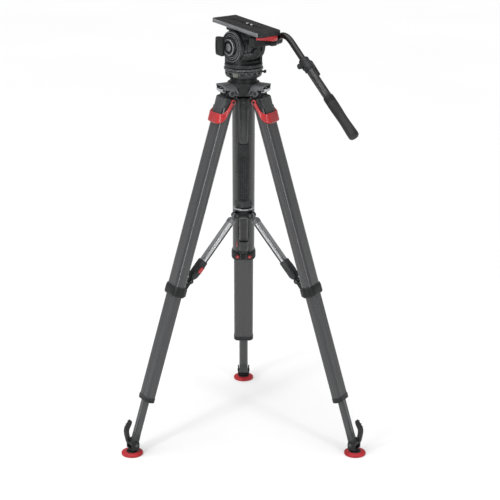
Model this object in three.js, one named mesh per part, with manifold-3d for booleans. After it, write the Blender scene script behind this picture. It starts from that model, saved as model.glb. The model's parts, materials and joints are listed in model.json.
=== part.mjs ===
// Video camera tripod with a fluid head, standing with its legs spread to the spreader's stop.
// Millimetres, +Z up. +X is to the right, the third leg points along +Y, and the feet stand on Z = 0.
import * as THREE from "three";
import { mergeVertices } from "three/addons/utils/BufferGeometryUtils.js";
import Module from "manifold-3d";

const wasm = await Module();
wasm.setup();

// ---------------------------------------------------------------- driving dimensions

const GAP = 0.3; // between pieces that touch
const ARC = 2; // curve divisions: four straight steps round a quarter circle

// Legs. Lengths along a leg are counted down from its hinge pin.
const LEGS = { back: 90, left: 210, right: 330 }; // azimuth of each leg
const LEG_LEAN = 17.3; // from the vertical
const PIN = { radius: 49.5, height: 994 };
const UPPER = { width: 63.5, depth: 33, corner: 15.5, wall: 1.6, top: 42, bottom: 560 };
const COLLAR = { width: 71, depth: 40.5, corner: 18, top: 545, bottom: 573 };
const MIDDLE = { width: 57, depth: 27.5, corner: 12, wall: 1.5, top: 340, bottom: 870 };
const LOWER = { width: 26.5, depth: 19, corner: 8.5, wall: 1.5, top: 505, bottom: 982, offset: 2.2 };
const SLIDE_GAP = 0.6; // round a tube in its collar
const HINGE_BLOCK = { width: 66.5, depth: 35.5, corner: 16.5, top: 15.5, barrel: 11, halfBarrel: 19 };
const COVER = { top: 24, bottom: 80, from: 17.1, to: 20.5 }; // on the outer face of the hinge block
const BRAKE = { pivotX: -3, pivotDown: 21, boss: 8.5, bandTop: 60, bandBottom: 88 };
const TUBE_CAP = { length: 11, overlap: 3, proud: 1 }; // on the middle tube's lower end

// Foot
const ANKLE = { height: 30, radius: 11, halfShank: 8.5 };
const FOOT = { radius: 30, height: 9, outward: 6.6, ear: 4, latchHalfWidth: 7 };

// Spreader
const HUB_PIN = { radius: 27, height: 645 };
const HUB = { body: 20, bottom: 637, flange: 29, top: 667 };
const BRACKET = { down: 528, inward: 36 }; // its pin on the leg collar
// The two plates either side of an arm's end
const FORK = { halfGap: 6.3, eye: 7.5, legPlate: 4.5, hubPlate: 4 };
const ARM = { width: 25, thickness: 16, corner: 6, shortOfPin: 27, eye: 6.5, halfEye: 5.8, neck: 14 };
const SLEEVE = { width: 29, thickness: 22.4, corner: 8, from: 17, to: 67 };
const SLEEVE_BORE = { width: 25.8, thickness: 19.2 };
const BUTTON = { centre: 40, halfLength: 9, halfWidth: 5, base: 16.8, top: 20.2 };

// Bowl and crown
const BALL = { radius: 37.5, height: 1018 }; // centre of the levelling ball
const SEAT = { inner: 38, outer: 42.6, hole: 16 };
const WING = { reach: 70, nose: 40, halfWidth: 26.5, springing: 1006, crest: 1019.5, ear: 12 };
const HANDLE = { bottom: 847, top: 969.5, stud: 6, studTop: 991.6 };

// Head
const HEAD_YAW = 37.7; // the head's left-to-right axis from +X
const TILT_AXIS = 1116; // height
const HEAD_TILT = 4.4; // front up
const BASE = { radius: 50, bottom: 1033, top: 1052 };
const RING = { radius: 53, bottom: 1052.4, top: 1060 };
const HOUSING = { radius: 51.5, bottom: 1060.4, top: 1070 };
const CHEEK = { inner: 30.4, outer: 42, radius: 42, halfFoot: 30, halfWaist: 38, waist: 1100 };
const DRUM = { radius: 39.5, halfWidth: 30 };
const REAR_COVER = { inner: 40, outer: 42, from: 200, to: 268 }; // degrees about the tilt axis
const DIAL = { left: 22, right: 24, thickness: 9 };
const PAN_BRAKE = { azimuth: -10.3, height: 1047.5, from: 50.3, to: 62, halfKnob: 3.5, halfWidth: 7 };
const PLATE = { width: 80, length: 195, thickness: 14, top: 60.4, centre: -6.4 };
const PLATFORM = { halfWidth: 27, front: 46, rear: -86, top: 45.9, bottom: 40.3 };
const PLATE_LOCK = { x: 26, y: -95, bottom: 33, top: 46.1, post: 5 };
const SCREW = { radius: 4.6, sunk: 5.6, proud: 4, frontY: -12, spacing: 17 };

// Pan bar, in the plane beside the plate; its straight run drops to the rear
const BAR = { side: 50, drop: 38.9, thin: 8.5, thick: 11, bore: 9.1, grip: 14.5 };
const BAR_START = { y: -150, z: 1133 };
const ROSETTE = { y: -77, z: 26, radius: 13, from: 34.3, to: 41 };
const CLAMP = { top: -51, bottom: -89, radius: 14, left: -16, right: 15, stud: -71 };

// ---------------------------------------------------------------- small helpers

const rad = THREE.MathUtils.degToRad;

const finish = {
  casting: { color: 0x55585b, roughness: 0.55, metalness: 0.6 },
  carbon: { color: 0x2b2d30, roughness: 0.4, metalness: 0.1 },
  blackPlastic: { color: 0x1b1c1e, roughness: 0.5, metalness: 0.0 },
  greyPlastic: { color: 0x3c3f43, roughness: 0.55, metalness: 0.0 },
  red: { color: 0xc8352f, roughness: 0.4, metalness: 0.0 },
  redRubber: { color: 0xb5252c, roughness: 0.8, metalness: 0.0 },
  silver: { color: 0x9a9da0, roughness: 0.35, metalness: 0.9 },
  glossBlack: { color: 0x121315, roughness: 0.2, metalness: 0.2 },
  rubber: { color: 0x18191a, roughness: 0.85, metalness: 0.0 },
  liquid: { color: 0x9fc23a, roughness: 0.1, metalness: 0.0 },
};

function toSolid(geometry) {
  const bare = geometry.clone();
  bare.deleteAttribute("normal");
  bare.deleteAttribute("uv");
  const merged = mergeVertices(bare, 1e-4);
  const vertProperties = merged.attributes.position.array;
  const triVerts = new Uint32Array(merged.index.array);
  return new wasm.Manifold(new wasm.Mesh({ numProp: 3, vertProperties, triVerts }));
}

function toGeometry(solid) {
  const mesh = solid.getMesh();
  const geometry = new THREE.BufferGeometry();
  geometry.setAttribute("position", new THREE.BufferAttribute(mesh.vertProperties, 3));
  geometry.setIndex(new THREE.BufferAttribute(mesh.triVerts, 1));
  geometry.computeVertexNormals();
  return geometry;
}

const join = (...pieces) => toGeometry(pieces.map(toSolid).reduce((a, b) => a.add(b)));
const cut = (body, ...tools) => toGeometry(tools.map(toSolid).reduce((a, b) => a.subtract(b), toSolid(body)));
const keep = (body, zone) => toGeometry(toSolid(body).intersect(toSolid(zone)));

// A box between two corners.
function block(x0, x1, y0, y1, z0, z1) {
  const geometry = new THREE.BoxGeometry(x1 - x0, y1 - y0, z1 - z0);
  return geometry.translate((x0 + x1) / 2, (y0 + y1) / 2, (z0 + z1) / 2);
}

function cylinder(radius, z0, z1, sides = 24) {
  const geometry = new THREE.CylinderGeometry(radius, radius, z1 - z0, sides);
  return geometry.rotateX(Math.PI / 2).translate(0, 0, (z0 + z1) / 2);
}

// A cylinder along X, or along Y.
const cylinderX = (radius, x0, x1, sides = 24) => cylinder(radius, x0, x1, sides).rotateY(Math.PI / 2);
const cylinderY = (radius, y0, y1, sides = 24) => cylinder(radius, -y1, -y0, sides).rotateX(Math.PI / 2);

// A turned piece: [radius, z] points, anticlockwise as seen with the axis on the left.
function turned(points, sides = 32) {
  const profile = points.map(([r, z]) => new THREE.Vector2(r, z));
  return new THREE.LatheGeometry(profile, sides).rotateX(Math.PI / 2);
}

function arcPoints(radius, centreZ, fromDegrees, toDegrees, steps) {
  const points = [];
  for (let i = 0; i <= steps; i++) {
    const angle = rad(fromDegrees + ((toDegrees - fromDegrees) * i) / steps);
    points.push([radius * Math.cos(angle), centreZ + radius * Math.sin(angle)]);
  }
  return points;
}

function roundedRect(width, height, corner, path = new THREE.Shape()) {
  const x = width / 2 - corner;
  const y = height / 2 - corner;
  path.absarc(x, y, corner, 0, Math.PI / 2);
  path.absarc(-x, y, corner, Math.PI / 2, Math.PI);
  path.absarc(-x, -y, corner, Math.PI, 1.5 * Math.PI);
  path.absarc(x, -y, corner, 1.5 * Math.PI, 2 * Math.PI);
  path.closePath();
  return path;
}

function polygon(points) {
  return new THREE.Shape(points.map(([x, y]) => new THREE.Vector2(x, y)));
}

// A shape in XY pushed up from z0 to z1.
function extrude(shape, z0, z1) {
  const settings = { depth: z1 - z0, bevelEnabled: false, curveSegments: ARC };
  return new THREE.ExtrudeGeometry(shape, settings).translate(0, 0, z0);
}

// A shape drawn in XZ, between y0 and y1; or drawn in YZ, between x0 and x1.
const slabY = (shape, y0, y1) => extrude(shape, -y1, -y0).rotateX(Math.PI / 2);
const slabX = (shape, x0, x1) => extrude(shape, x0, x1).rotateX(Math.PI / 2).rotateZ(Math.PI / 2);

const section = (tube, grow = 0) =>
  roundedRect(tube.depth + 2 * grow, tube.width + 2 * grow, tube.corner + grow);

function hollowSection(tube) {
  const shape = section(tube);
  const inside = roundedRect(
    tube.depth - 2 * tube.wall,
    tube.width - 2 * tube.wall,
    tube.corner - tube.wall,
    new THREE.Path(),
  );
  shape.holes.push(inside);
  return shape;
}

const model = new THREE.Group();

function group(parent, x = 0, y = 0, z = 0) {
  const made = new THREE.Group();
  made.position.set(x, y, z);
  parent.add(made);
  return made;
}

function piece(parent, name, look, geometry) {
  const mesh = new THREE.Mesh(geometry, new THREE.MeshStandardMaterial(finish[look]));
  mesh.name = name;
  parent.add(mesh);
}

// ---------------------------------------------------------------- crown, ball and tie-down

function crown() {
  const outer = arcPoints(SEAT.outer, BALL.height, -68, 0, 5);
  let casting = turned([[0, outer[0][1]], ...outer, [0, BALL.height]], 30);
  const { reach, nose, halfWidth, springing, crest } = WING;
  const earInside = HINGE_BLOCK.halfBarrel + 0.6;
  const wall = polygon([
    [28, 989], [34, 1001], [49.5, 1003], [reach - 5, 1003], [reach, springing], [reach, springing + 2],
    [30, springing + 2],
  ]);
  const ear = new THREE.Shape().absarc(PIN.radius, PIN.height, WING.ear, 0, 2 * Math.PI);
  const half = [[halfWidth, springing], [23.5, 1013.5], [15, 1018.2], [6, crest]];
  const halfInside = [[5, 1015], [13, 1013.6], [18, 1010], [earInside, springing]];
  const mirrored = (points) => points.map(([y, z]) => [-y, z]).reverse();
  const vault = polygon([...half, ...mirrored(half), ...mirrored(halfInside), ...halfInside]);
  const round = cylinder(nose, 980, 1030, 40).translate(reach - nose, 0, 0);
  for (const azimuth of Object.values(LEGS)) {
    const sides = [earInside, -halfWidth].flatMap((y) => {
      const thickness = halfWidth - earInside;
      return [slabY(wall, y, y + thickness), slabY(ear, y, y + thickness)];
    });
    const wing = keep(join(slabX(vault, 34, reach), ...sides), round);
    casting = join(casting, wing.rotateZ(rad(azimuth)));
  }
  const hole = [[0, 970], [SEAT.hole, 970]];
  const bowl = arcPoints(SEAT.inner, BALL.height, -65.1, 0, 5);
  const seat = turned([...hole, ...bowl, [SEAT.inner, 1030], [0, 1030]], 30);
  piece(model, "crown", "casting", cut(casting, seat));
}

function ballAndHandle() {
  const { radius, height } = BALL;
  const sphere = arcPoints(radius, height, -43.9, 0, 5);
  const neck = 30;
  const neckTop = BASE.bottom - GAP;
  const rim = height + 3;
  const profile = [[0, sphere[0][1]], ...sphere, [radius, rim], [neck, rim], [neck, neckTop], [0, neckTop]];
  piece(model, "half_ball", "blackPlastic", turned(profile, 30));

  const { bottom, top, stud, studTop } = HANDLE;
  const cupTop = arcPoints(SEAT.outer + 0.5, height, -63, -80.5, 4);
  const cupBore = [stud + 1.3, top + 0.5];
  piece(model, "clamp_cup", "blackPlastic", turned([cupBore, [20, top + 0.5], ...cupTop, cupBore], 28));

  const handle = [
    [0, bottom], [10, bottom], [12, bottom + 3], [12.6, 900], [15, 945], [15, top - 3.5], [13, top],
    [stud, top], [stud, studTop], [0, studTop],
  ];
  piece(model, "tie_down_handle", "greyPlastic", turned(handle, 20));
}

// ---------------------------------------------------------------- legs

function hingeBlock(leg, name) {
  const { barrel, halfBarrel, top } = HINGE_BLOCK;
  const bottom = -UPPER.top + GAP;
  const body = extrude(section(HINGE_BLOCK), bottom, -top);
  const neck = block(-barrel, barrel, -halfBarrel, halfBarrel, -top - 2, 0);
  const coverShape = polygon([[COVER.from, -24], [COVER.to, -16], [COVER.to, 16], [COVER.from, 24]]);
  const cover = extrude(coverShape, -COVER.bottom, -COVER.top);
  const pinBarrel = cylinderY(barrel, -halfBarrel, halfBarrel);
  piece(leg, "leg_hinge_" + name, "greyPlastic", join(pinBarrel, neck, body, cover));
}

function collar(leg, name) {
  const { top, bottom } = COLLAR;
  const ring = extrude(section(COLLAR), -bottom, -top);
  const { down, inward } = BRACKET;
  const { halfGap, legPlate } = FORK;
  const lug = polygon([
    [-18, -top - 2], [-inward, -down + FORK.eye], [-inward - 4, -down - FORK.eye + 2], [-18, -bottom + 2],
  ]);
  const eye = new THREE.Shape().absarc(-inward, -down, FORK.eye, 0, 2 * Math.PI);
  const lugs = [halfGap, -halfGap - legPlate].flatMap((y) => {
    return [slabY(lug, y, y + legPlate), slabY(eye, y, y + legPlate)];
  });
  const tubeRoom = extrude(section(UPPER, GAP), -UPPER.bottom - GAP, 0);
  const slideRoom = extrude(section(MIDDLE, SLIDE_GAP), -bottom - 1, 0);
  piece(leg, "leg_collar_" + name, "blackPlastic", cut(join(ring, ...lugs), tubeRoom, slideRoom));
}

function brakeLever(leg, name) {
  const x = BRAKE.pivotX;
  const z = -BRAKE.pivotDown;
  const bandTop = -BRAKE.bandTop;
  const bandBottom = -BRAKE.bandBottom;
  const inner = { depth: 42.4, width: 68.4, corner: 18 };
  const outer = { depth: 51, width: 77, corner: 21 };
  const band = cut(
    extrude(section(outer), bandBottom, bandTop),
    extrude(section(inner), bandBottom - 1, bandTop + 1),
    block(-outer.width, 4, -outer.width, outer.width, bandBottom - 1, bandTop + 1),
  );
  const arm = polygon([
    [x - 6, z - 3], [x + 5, z + 6], [13, bandTop], [13, bandBottom + 1], [4, bandBottom + 6],
  ]);
  const boss = new THREE.Shape().absarc(x, z, BRAKE.boss, 0, 2 * Math.PI);
  const sides = [
    [inner.width / 2, outer.width / 2],
    [-outer.width / 2, -inner.width / 2],
  ];
  const arms = sides.flatMap(([y0, y1]) => [slabY(arm, y0, y1), slabY(boss, y0, y1)]);
  piece(leg, "brake_lever_" + name, "red", join(band, ...arms));
}

function middleTube(leg, name) {
  const { top, bottom } = MIDDLE;
  const tube = extrude(hollowSection(MIDDLE), -bottom, -top);
  const { length, overlap, proud } = TUBE_CAP;
  const cap = extrude(section(MIDDLE, proud), -bottom - length, -bottom + overlap);
  const room = extrude(section(LOWER, SLIDE_GAP), -bottom - length - 1, -bottom + overlap + 1);
  room.translate(LOWER.offset, 0, 0);
  piece(leg, "middle_tube_" + name, "carbon", join(tube, cut(cap, room)));
}

// The ankle pin lies where the lower tube's centre line comes down to its height.
const lean = rad(LEG_LEAN);
const ankleDown = (PIN.height - ANKLE.height + LOWER.offset * Math.sin(lean)) / Math.cos(lean);
const ankleRadius = PIN.radius + ankleDown * Math.sin(lean) + LOWER.offset * Math.cos(lean);

function lowerTube(leg, name) {
  const { top, bottom, offset, width } = LOWER;
  const tube = extrude(hollowSection(LOWER), -bottom, -top).translate(offset, 0, 0);
  const plug = extrude(section(LOWER), -bottom - 8, -bottom + 6).translate(offset, 0, 0);
  const { halfShank, radius } = ANKLE;
  const shank = block(offset - halfShank, offset + halfShank, -width / 2, width / 2, -ankleDown, -bottom - 4);
  const ankle = cylinderY(radius, -width / 2, width / 2).translate(offset, 0, -ankleDown);
  piece(leg, "lower_tube_" + name, "carbon", join(tube, plug, shank, ankle));
}

// Foot frame: origin under the ankle pin on the ground, X outward.
function foot(side, name) {
  const base = group(side, ankleRadius, 0, 0);
  const { radius, height, outward } = FOOT;
  const profile = [
    [0, 0], [radius - 1.5, 0], [radius, 1.5], [radius, height - 3], [radius - 4, height], [0, height],
  ];
  const disc = turned(profile, 36).translate(outward, 0, 0);
  const ear = polygon([[-15, height - 1], [-13, 34], [-6, 43], [8, 45], [17, 40], [20, height - 1]]);
  const earInside = LOWER.width / 2 + 0.6;
  const ears = [earInside, -earInside - FOOT.ear].map((y) => slabY(ear, y, y + FOOT.ear));
  const pedestal = block(6, 20, -earInside - 1, earInside + 1, height - 1, 16);
  piece(base, "foot_pad_" + name, "redRubber", join(disc, ...ears, pedestal));

  const hook = polygon([
    [13.5, 35], [18.5, 32], [22, 38], [29.5, 66], [30, 76], [24, 88],
    [12, 104], [7, 102], [8, 92], [20.5, 76], [15, 50],
  ]);
  piece(base, "foot_latch_" + name, "rubber", slabY(hook, -FOOT.latchHalfWidth, FOOT.latchHalfWidth));
}

function legs() {
  for (const [name, azimuth] of Object.entries(LEGS)) {
    const side = group(model);
    side.rotation.z = rad(azimuth);
    const leg = group(side, PIN.radius, 0, PIN.height);
    leg.rotation.y = -lean;
    hingeBlock(leg, name);
    piece(leg, "upper_tube_" + name, "carbon", extrude(hollowSection(UPPER), -UPPER.bottom, -UPPER.top));
    collar(leg, name);
    brakeLever(leg, name);
    middleTube(leg, name);
    lowerTube(leg, name);
    foot(side, name);
    spreaderArm(side, name);
  }
}

// ---------------------------------------------------------------- mid-level spreader

const bracketRadius = PIN.radius + BRACKET.down * Math.sin(lean) - BRACKET.inward * Math.cos(lean);
const bracketHeight = PIN.height - BRACKET.down * Math.cos(lean) - BRACKET.inward * Math.sin(lean);
const armRun = bracketRadius - HUB_PIN.radius;
const armDrop = HUB_PIN.height - bracketHeight;
const armLength = Math.hypot(armRun, armDrop);
const armLean = Math.atan2(armRun, armDrop);

function spreaderHub() {
  const { body, bottom, flange, top } = HUB;
  const profile = [
    [0, bottom], [body - 3, bottom], [body, bottom + 3], [body, top - 14], [flange - 1, top - 9],
    [flange, top - 6], [flange, top - 2], [flange - 2, top], [0, top],
  ];
  let hub = turned(profile, 30);
  const pinUp = HUB_PIN.height + FORK.eye;
  const pinDown = HUB_PIN.height - FORK.eye;
  const lug = polygon([[10, bottom + 1], [HUB_PIN.radius, pinDown], [HUB_PIN.radius, pinUp], [10, pinUp + 2]]);
  const eye = new THREE.Shape().absarc(HUB_PIN.radius, HUB_PIN.height, FORK.eye, 0, 2 * Math.PI);
  const { halfGap, hubPlate } = FORK;
  for (const azimuth of Object.values(LEGS)) {
    const lugs = [halfGap, -halfGap - hubPlate].flatMap((y) => {
      return [slabY(lug, y, y + hubPlate), slabY(eye, y, y + hubPlate)];
    });
    hub = join(hub, join(...lugs).rotateZ(rad(azimuth)));
  }
  piece(model, "spreader_hub", "silver", hub);
  const knobTop = top + 18;
  const knob = [
    [0, top + 0.4], [24, top + 0.4], [25.5, top + 3], [25.5, knobTop - 4], [22, knobTop], [0, knobTop],
  ];
  piece(model, "spreader_knob", "blackPlastic", turned(knob, 24));
}

// Arm frame: origin at the hub pin, -Z along the arm. Sleeve frame: origin at the bracket pin, +Z up the arm.
function spreaderArm(side, name) {
  const arm = group(side, HUB_PIN.radius, 0, HUB_PIN.height);
  arm.rotation.y = -armLean;
  const { halfEye } = ARM;
  const outline = roundedRect(ARM.thickness, ARM.width, ARM.corner);
  const bar = extrude(outline, -armLength + ARM.shortOfPin, 2 - ARM.neck);
  const eye = cylinderY(ARM.eye, -halfEye, halfEye);
  const neck = block(-4, 4, -halfEye, halfEye, -ARM.neck, 0);
  piece(arm, "spreader_arm_" + name, "silver", join(bar, eye, neck));

  const sleeve = group(side, bracketRadius, 0, bracketHeight);
  sleeve.rotation.y = -armLean;
  const { from, to, width, thickness, corner } = SLEEVE;
  const body = extrude(roundedRect(thickness, width, corner), from - 6, to);
  const bore = roundedRect(SLEEVE_BORE.thickness, SLEEVE_BORE.width, ARM.corner + 0.4);
  const room = extrude(bore, from, to + 1);
  const link = join(cylinderY(ARM.eye, -halfEye, halfEye), block(-5, 5, -halfEye, halfEye, 0, from - 4));

  const { centre, halfLength, halfWidth, base, top } = BUTTON;
  const along = (grow) => [centre - halfLength - grow, centre + halfLength + grow];
  const boss = block(-halfWidth - 2, halfWidth + 2, width / 2 - 1.5, base + 0.9, ...along(4));
  const pocket = block(-halfWidth - 0.4, halfWidth + 0.4, base - 1.7, top - 1, ...along(0.4));
  piece(sleeve, "spreader_sleeve_" + name, "blackPlastic", join(cut(join(body, boss), room, pocket), link));
  piece(sleeve, "spreader_button_" + name, "red", block(-halfWidth, halfWidth, base, top, ...along(0)));
}

// ---------------------------------------------------------------- head: panning part

function headBase(head) {
  const { radius, bottom, top } = BASE;
  const spigot = 34;
  const profile = [
    [0, bottom], [43, bottom], [radius - 2, bottom + 5], [radius, bottom + 8], [radius, top],
    [spigot, top], [spigot, RING.top], [0, RING.top],
  ];
  const base = turned(profile, 40);
  const levelAt = [-20, -42];
  const room = cylinder(8.4, bottom + 5, top + 9, 20).translate(...levelAt, 0);
  piece(model, "pan_base", "greyPlastic", cut(base, room));
  piece(model, "bubble_level", "liquid", cylinder(8, bottom + 5.3, top - 0.2, 20).translate(...levelAt, 0));

  const bore = spigot + 0.4;
  const ring = [
    [bore, RING.bottom], [RING.radius, RING.bottom], [RING.radius, RING.top - 1],
    [RING.radius - 1, RING.top], [bore, RING.top], [bore, RING.bottom],
  ];
  piece(head, "pan_drag_ring", "blackPlastic", turned(ring, 40));

  const brake = PAN_BRAKE;
  const neck = 5;
  const stub = cylinderX(2.6, brake.from, brake.from + neck + 1, 12).translate(0, 0, brake.height);
  const knob = block(
    brake.from + neck, brake.to, -brake.halfWidth, brake.halfWidth,
    brake.height - brake.halfKnob, brake.height + brake.halfKnob,
  );
  piece(model, "pan_brake_lever", "blackPlastic", join(knob, stub).rotateZ(rad(brake.azimuth)));
}

function housing(head) {
  const { inner, outer, radius, halfFoot, halfWaist, waist } = CHEEK;
  const disc = cylinder(HOUSING.radius, HOUSING.bottom, HOUSING.top, 40);
  const foot = HOUSING.top - 1;
  const skirt = polygon([[-halfFoot, foot], [halfFoot, foot], [halfWaist, waist], [-halfWaist, waist]]);
  const face = new THREE.Shape().absarc(0, TILT_AXIS, radius, 0, 2 * Math.PI);
  const round = cylinder(HOUSING.radius, HOUSING.bottom, TILT_AXIS, 40);
  const cheeks = [inner, -outer].flatMap((x) => [
    keep(slabX(skirt, x, x + outer - inner), round),
    cylinderX(radius, x, x + outer - inner, 36).translate(0, 0, TILT_AXIS),
  ]);
  const cover = REAR_COVER;
  const arch = polygon([
    ...arcPoints(cover.outer, TILT_AXIS, cover.from, cover.to, 8),
    ...arcPoints(cover.inner, TILT_AXIS, cover.to, cover.from, 8),
  ]);
  const rearCover = slabX(arch, -inner - 0.5, inner + 0.5);
  piece(head, "head_housing", "greyPlastic", join(disc, rearCover, ...cheeks));
}

function sideControls(head) {
  const left = -CHEEK.outer - 0.4;
  const right = CHEEK.outer + 0.4;
  const dial = (radius, x) => cylinderX(radius, x, x + DIAL.thickness, 30).translate(0, 0, TILT_AXIS);
  piece(head, "tilt_drag_dial", "greyPlastic", dial(DIAL.left, left - DIAL.thickness));
  const flag = polygon([[28, 1094], [40, 1098], [42, 1136], [27, 1140], [24, 1118]]);
  const paddle = slabX(flag, left - 20, left - 13);
  const stub = cylinderX(5.5, left - 14, left, 16).translate(0, 32, TILT_AXIS);
  piece(head, "tilt_brake_lever", "blackPlastic", join(paddle, stub));
  piece(head, "counterbalance_dial", "blackPlastic", dial(DIAL.right, right));
}

// ---------------------------------------------------------------- head: tilting part

// Tilt frame: origin on the tilt axis, X along it to the right, Y forward along the camera plate.
function tiltingPart(tilt) {
  const drum = cylinderX(DRUM.radius, -DRUM.halfWidth, DRUM.halfWidth, 40);
  const saddle = block(-29.5, 29.5, -30, 30, 20, PLATFORM.bottom - GAP);
  piece(tilt, "tilt_drum", "greyPlastic", join(drum, saddle));

  const { halfWidth, front, rear, top, bottom } = PLATFORM;
  const deck = block(-halfWidth, halfWidth, rear, front, bottom, top);
  const crossBlock = block(-34, 34, rear, -64, 16, bottom + 1);
  const lock = PLATE_LOCK;
  const leverPost = cylinder(lock.post, 20, lock.bottom - GAP, 16).translate(lock.x, lock.y, 0);
  const leverShelf = block(14, 33, -101, rear + 2, 18, 28);
  piece(tilt, "tilt_platform", "blackPlastic", join(deck, crossBlock, leverShelf, leverPost));

  const half = PLATE.width / 2;
  const plateFront = PLATE.centre + PLATE.length / 2;
  const plateRear = PLATE.centre - PLATE.length / 2;
  const plateBottom = PLATE.top - PLATE.thickness;
  const outline = roundedRect(PLATE.width, PLATE.length, 3);
  const slab = extrude(outline, plateBottom, PLATE.top).translate(0, PLATE.centre, 0);
  const slotEnd = 35;
  const slot = block(-5, 5, plateRear + slotEnd, plateFront - slotEnd, PLATE.top - 6, PLATE.top + 1);
  piece(tilt, "camera_plate", "casting", cut(slab, slot));
  ["front", "rear"].forEach((end, i) => {
    const { radius, sunk, proud, frontY, spacing } = SCREW;
    const bottomEdge = PLATE.top - sunk;
    const topEdge = PLATE.top + proud;
    const profile = [
      [0, bottomEdge], [radius, bottomEdge], [radius, topEdge - 1], [radius - 1, topEdge], [0, topEdge],
    ];
    piece(tilt, "camera_screw_" + end, "silver", turned(profile, 16).translate(0, frontY - spacing * i, 0));
  });

  const lever = polygon([
    [half - 6, -101], [half - 4, -95], [half - 8, -89], [20, -88],
    [-30, -91], [-36, -96], [-30, -102], [20, -104],
  ]);
  piece(tilt, "plate_lock_lever", "red", extrude(lever, lock.bottom, lock.top));

  const rosette = cylinderX(ROSETTE.radius, ROSETTE.from, ROSETTE.to).translate(0, ROSETTE.y, ROSETTE.z);
  piece(tilt, "pan_bar_rosette", "casting", rosette);
}

// ---------------------------------------------------------------- pan bar

// A round tube along a curve, by sweeping a circle.
function sweep(points, radius, steps) {
  const circle = new THREE.Shape().absarc(0, 0, radius, 0, 2 * Math.PI);
  const extrudePath = new THREE.CatmullRomCurve3(points, false, "centripetal");
  return new THREE.ExtrudeGeometry(circle, { steps, extrudePath, curveSegments: 6 });
}

// Bar frame: origin where the straight run begins, -Z down along it, Y forward and up.
function panBar(head) {
  const turn = Math.PI / 2 - rad(BAR.drop);
  const straight = group(head, BAR.side, BAR_START.y, BAR_START.z);
  straight.rotation.x = -turn;

  // A point of the head's frame, as Y and Z of the bar frame.
  const toBar = (y, z) => {
    const dy = y - BAR_START.y;
    const dz = z - BAR_START.z;
    return [dy * Math.cos(turn) - dz * Math.sin(turn), dy * Math.sin(turn) + dz * Math.cos(turn)];
  };
  const tilted = rad(HEAD_TILT);
  const knuckleY = ROSETTE.y * Math.cos(tilted) - ROSETTE.z * Math.sin(tilted);
  const knuckleZ = TILT_AXIS + ROSETTE.y * Math.sin(tilted) + ROSETTE.z * Math.cos(tilted);
  const bend = [[knuckleY, knuckleZ], [-90, 1146], [-106, 1152], [-122, 1150.5], [-137, 1143]];
  const path = bend.map(([y, z]) => new THREE.Vector3(0, ...toBar(y, z)));
  path.push(new THREE.Vector3(0, 0, 0), new THREE.Vector3(0, 0, -60), new THREE.Vector3(0, 0, -175));
  const disc = cylinderX(12.5, ROSETTE.to + GAP - BAR.side, 5).translate(0, ...toBar(knuckleY, knuckleZ));
  piece(straight, "pan_bar_arm", "glossBlack", join(sweep(path, BAR.thin, 20), disc));

  const tubeEnd = -180;
  const gripEnd = -318;
  const { top, bottom, radius, left, right, stud } = CLAMP;
  const thickTube = cut(cylinder(BAR.thick, -250, bottom - GAP), cylinder(BAR.bore, -249, 0));
  piece(straight, "pan_bar_tube", "glossBlack", thickTube);

  const body = join(cylinder(radius, bottom, top), block(left, right, -7, 7, bottom + 6, top - 8));
  piece(straight, "bar_clamp", "blackPlastic", cut(body, cylinder(BAR.bore, bottom - 1, top + 1)));
  const knob = cylinderX(7.5, left - 13, left - 0.4, 14);
  piece(straight, "clamp_knob", "blackPlastic", knob.translate(0, 0, stud));
  const plate = block(right + 0.6, right + 5.6, -5, 5, stud - 38, stud + 12);
  const stub = cylinderX(4.5, right + 0.4, right + 2, 14).translate(0, 0, stud);
  piece(straight, "clamp_lever", "blackPlastic", join(plate, stub));

  const gripRadius = BAR.grip;
  const grip = [
    [0, gripEnd], [gripRadius - 4, gripEnd], [gripRadius - 0.5, gripEnd + 4], [gripRadius, gripEnd + 30],
    [gripRadius - 1.5, gripEnd + 90], [gripRadius - 1, tubeEnd - 3], [gripRadius - 2.5, tubeEnd],
    [BAR.thick + GAP, tubeEnd], [BAR.thick + GAP, -250.4], [0, -250.4],
  ];
  piece(straight, "pan_bar_grip", "rubber", turned(grip, 20));
}

// ---------------------------------------------------------------- assembly

crown();
ballAndHandle();
legs();
spreaderHub();

const head = group(model);
head.rotation.z = rad(HEAD_YAW);
headBase(head);
housing(head);
sideControls(head);
const tilt = group(head, 0, 0, TILT_AXIS);
tilt.rotation.x = rad(HEAD_TILT);
tiltingPart(tilt);
panBar(head);

// The origin goes to the middle of the footprint.
model.updateMatrixWorld(true);
const middle = new THREE.Box3().setFromObject(model, true).getCenter(new THREE.Vector3());
model.position.set(-middle.x, -middle.y, 0);

const part = new THREE.Group();
part.add(model);
export default part;
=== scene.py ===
# Video camera tripod with a fluid head: its looks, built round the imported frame.
# Pieces are drawn in millimetres in the local frame of the body they belong to, then put in place in metres.
import json
import math

import bmesh
import bpy
from mathutils import Matrix, Vector


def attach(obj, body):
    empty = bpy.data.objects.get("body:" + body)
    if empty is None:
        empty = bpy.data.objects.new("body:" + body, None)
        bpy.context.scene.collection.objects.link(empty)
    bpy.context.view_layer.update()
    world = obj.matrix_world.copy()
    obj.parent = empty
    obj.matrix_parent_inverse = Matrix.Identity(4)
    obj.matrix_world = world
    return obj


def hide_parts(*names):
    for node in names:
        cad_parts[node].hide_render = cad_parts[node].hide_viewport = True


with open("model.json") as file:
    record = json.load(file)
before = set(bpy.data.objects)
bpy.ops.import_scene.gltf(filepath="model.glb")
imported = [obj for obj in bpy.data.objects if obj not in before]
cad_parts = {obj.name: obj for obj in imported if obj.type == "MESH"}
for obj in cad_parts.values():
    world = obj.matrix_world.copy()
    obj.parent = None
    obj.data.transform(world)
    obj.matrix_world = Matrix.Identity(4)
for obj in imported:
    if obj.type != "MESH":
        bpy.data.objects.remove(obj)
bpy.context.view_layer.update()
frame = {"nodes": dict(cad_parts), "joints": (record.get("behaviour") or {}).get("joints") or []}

MM = 0.001
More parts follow.
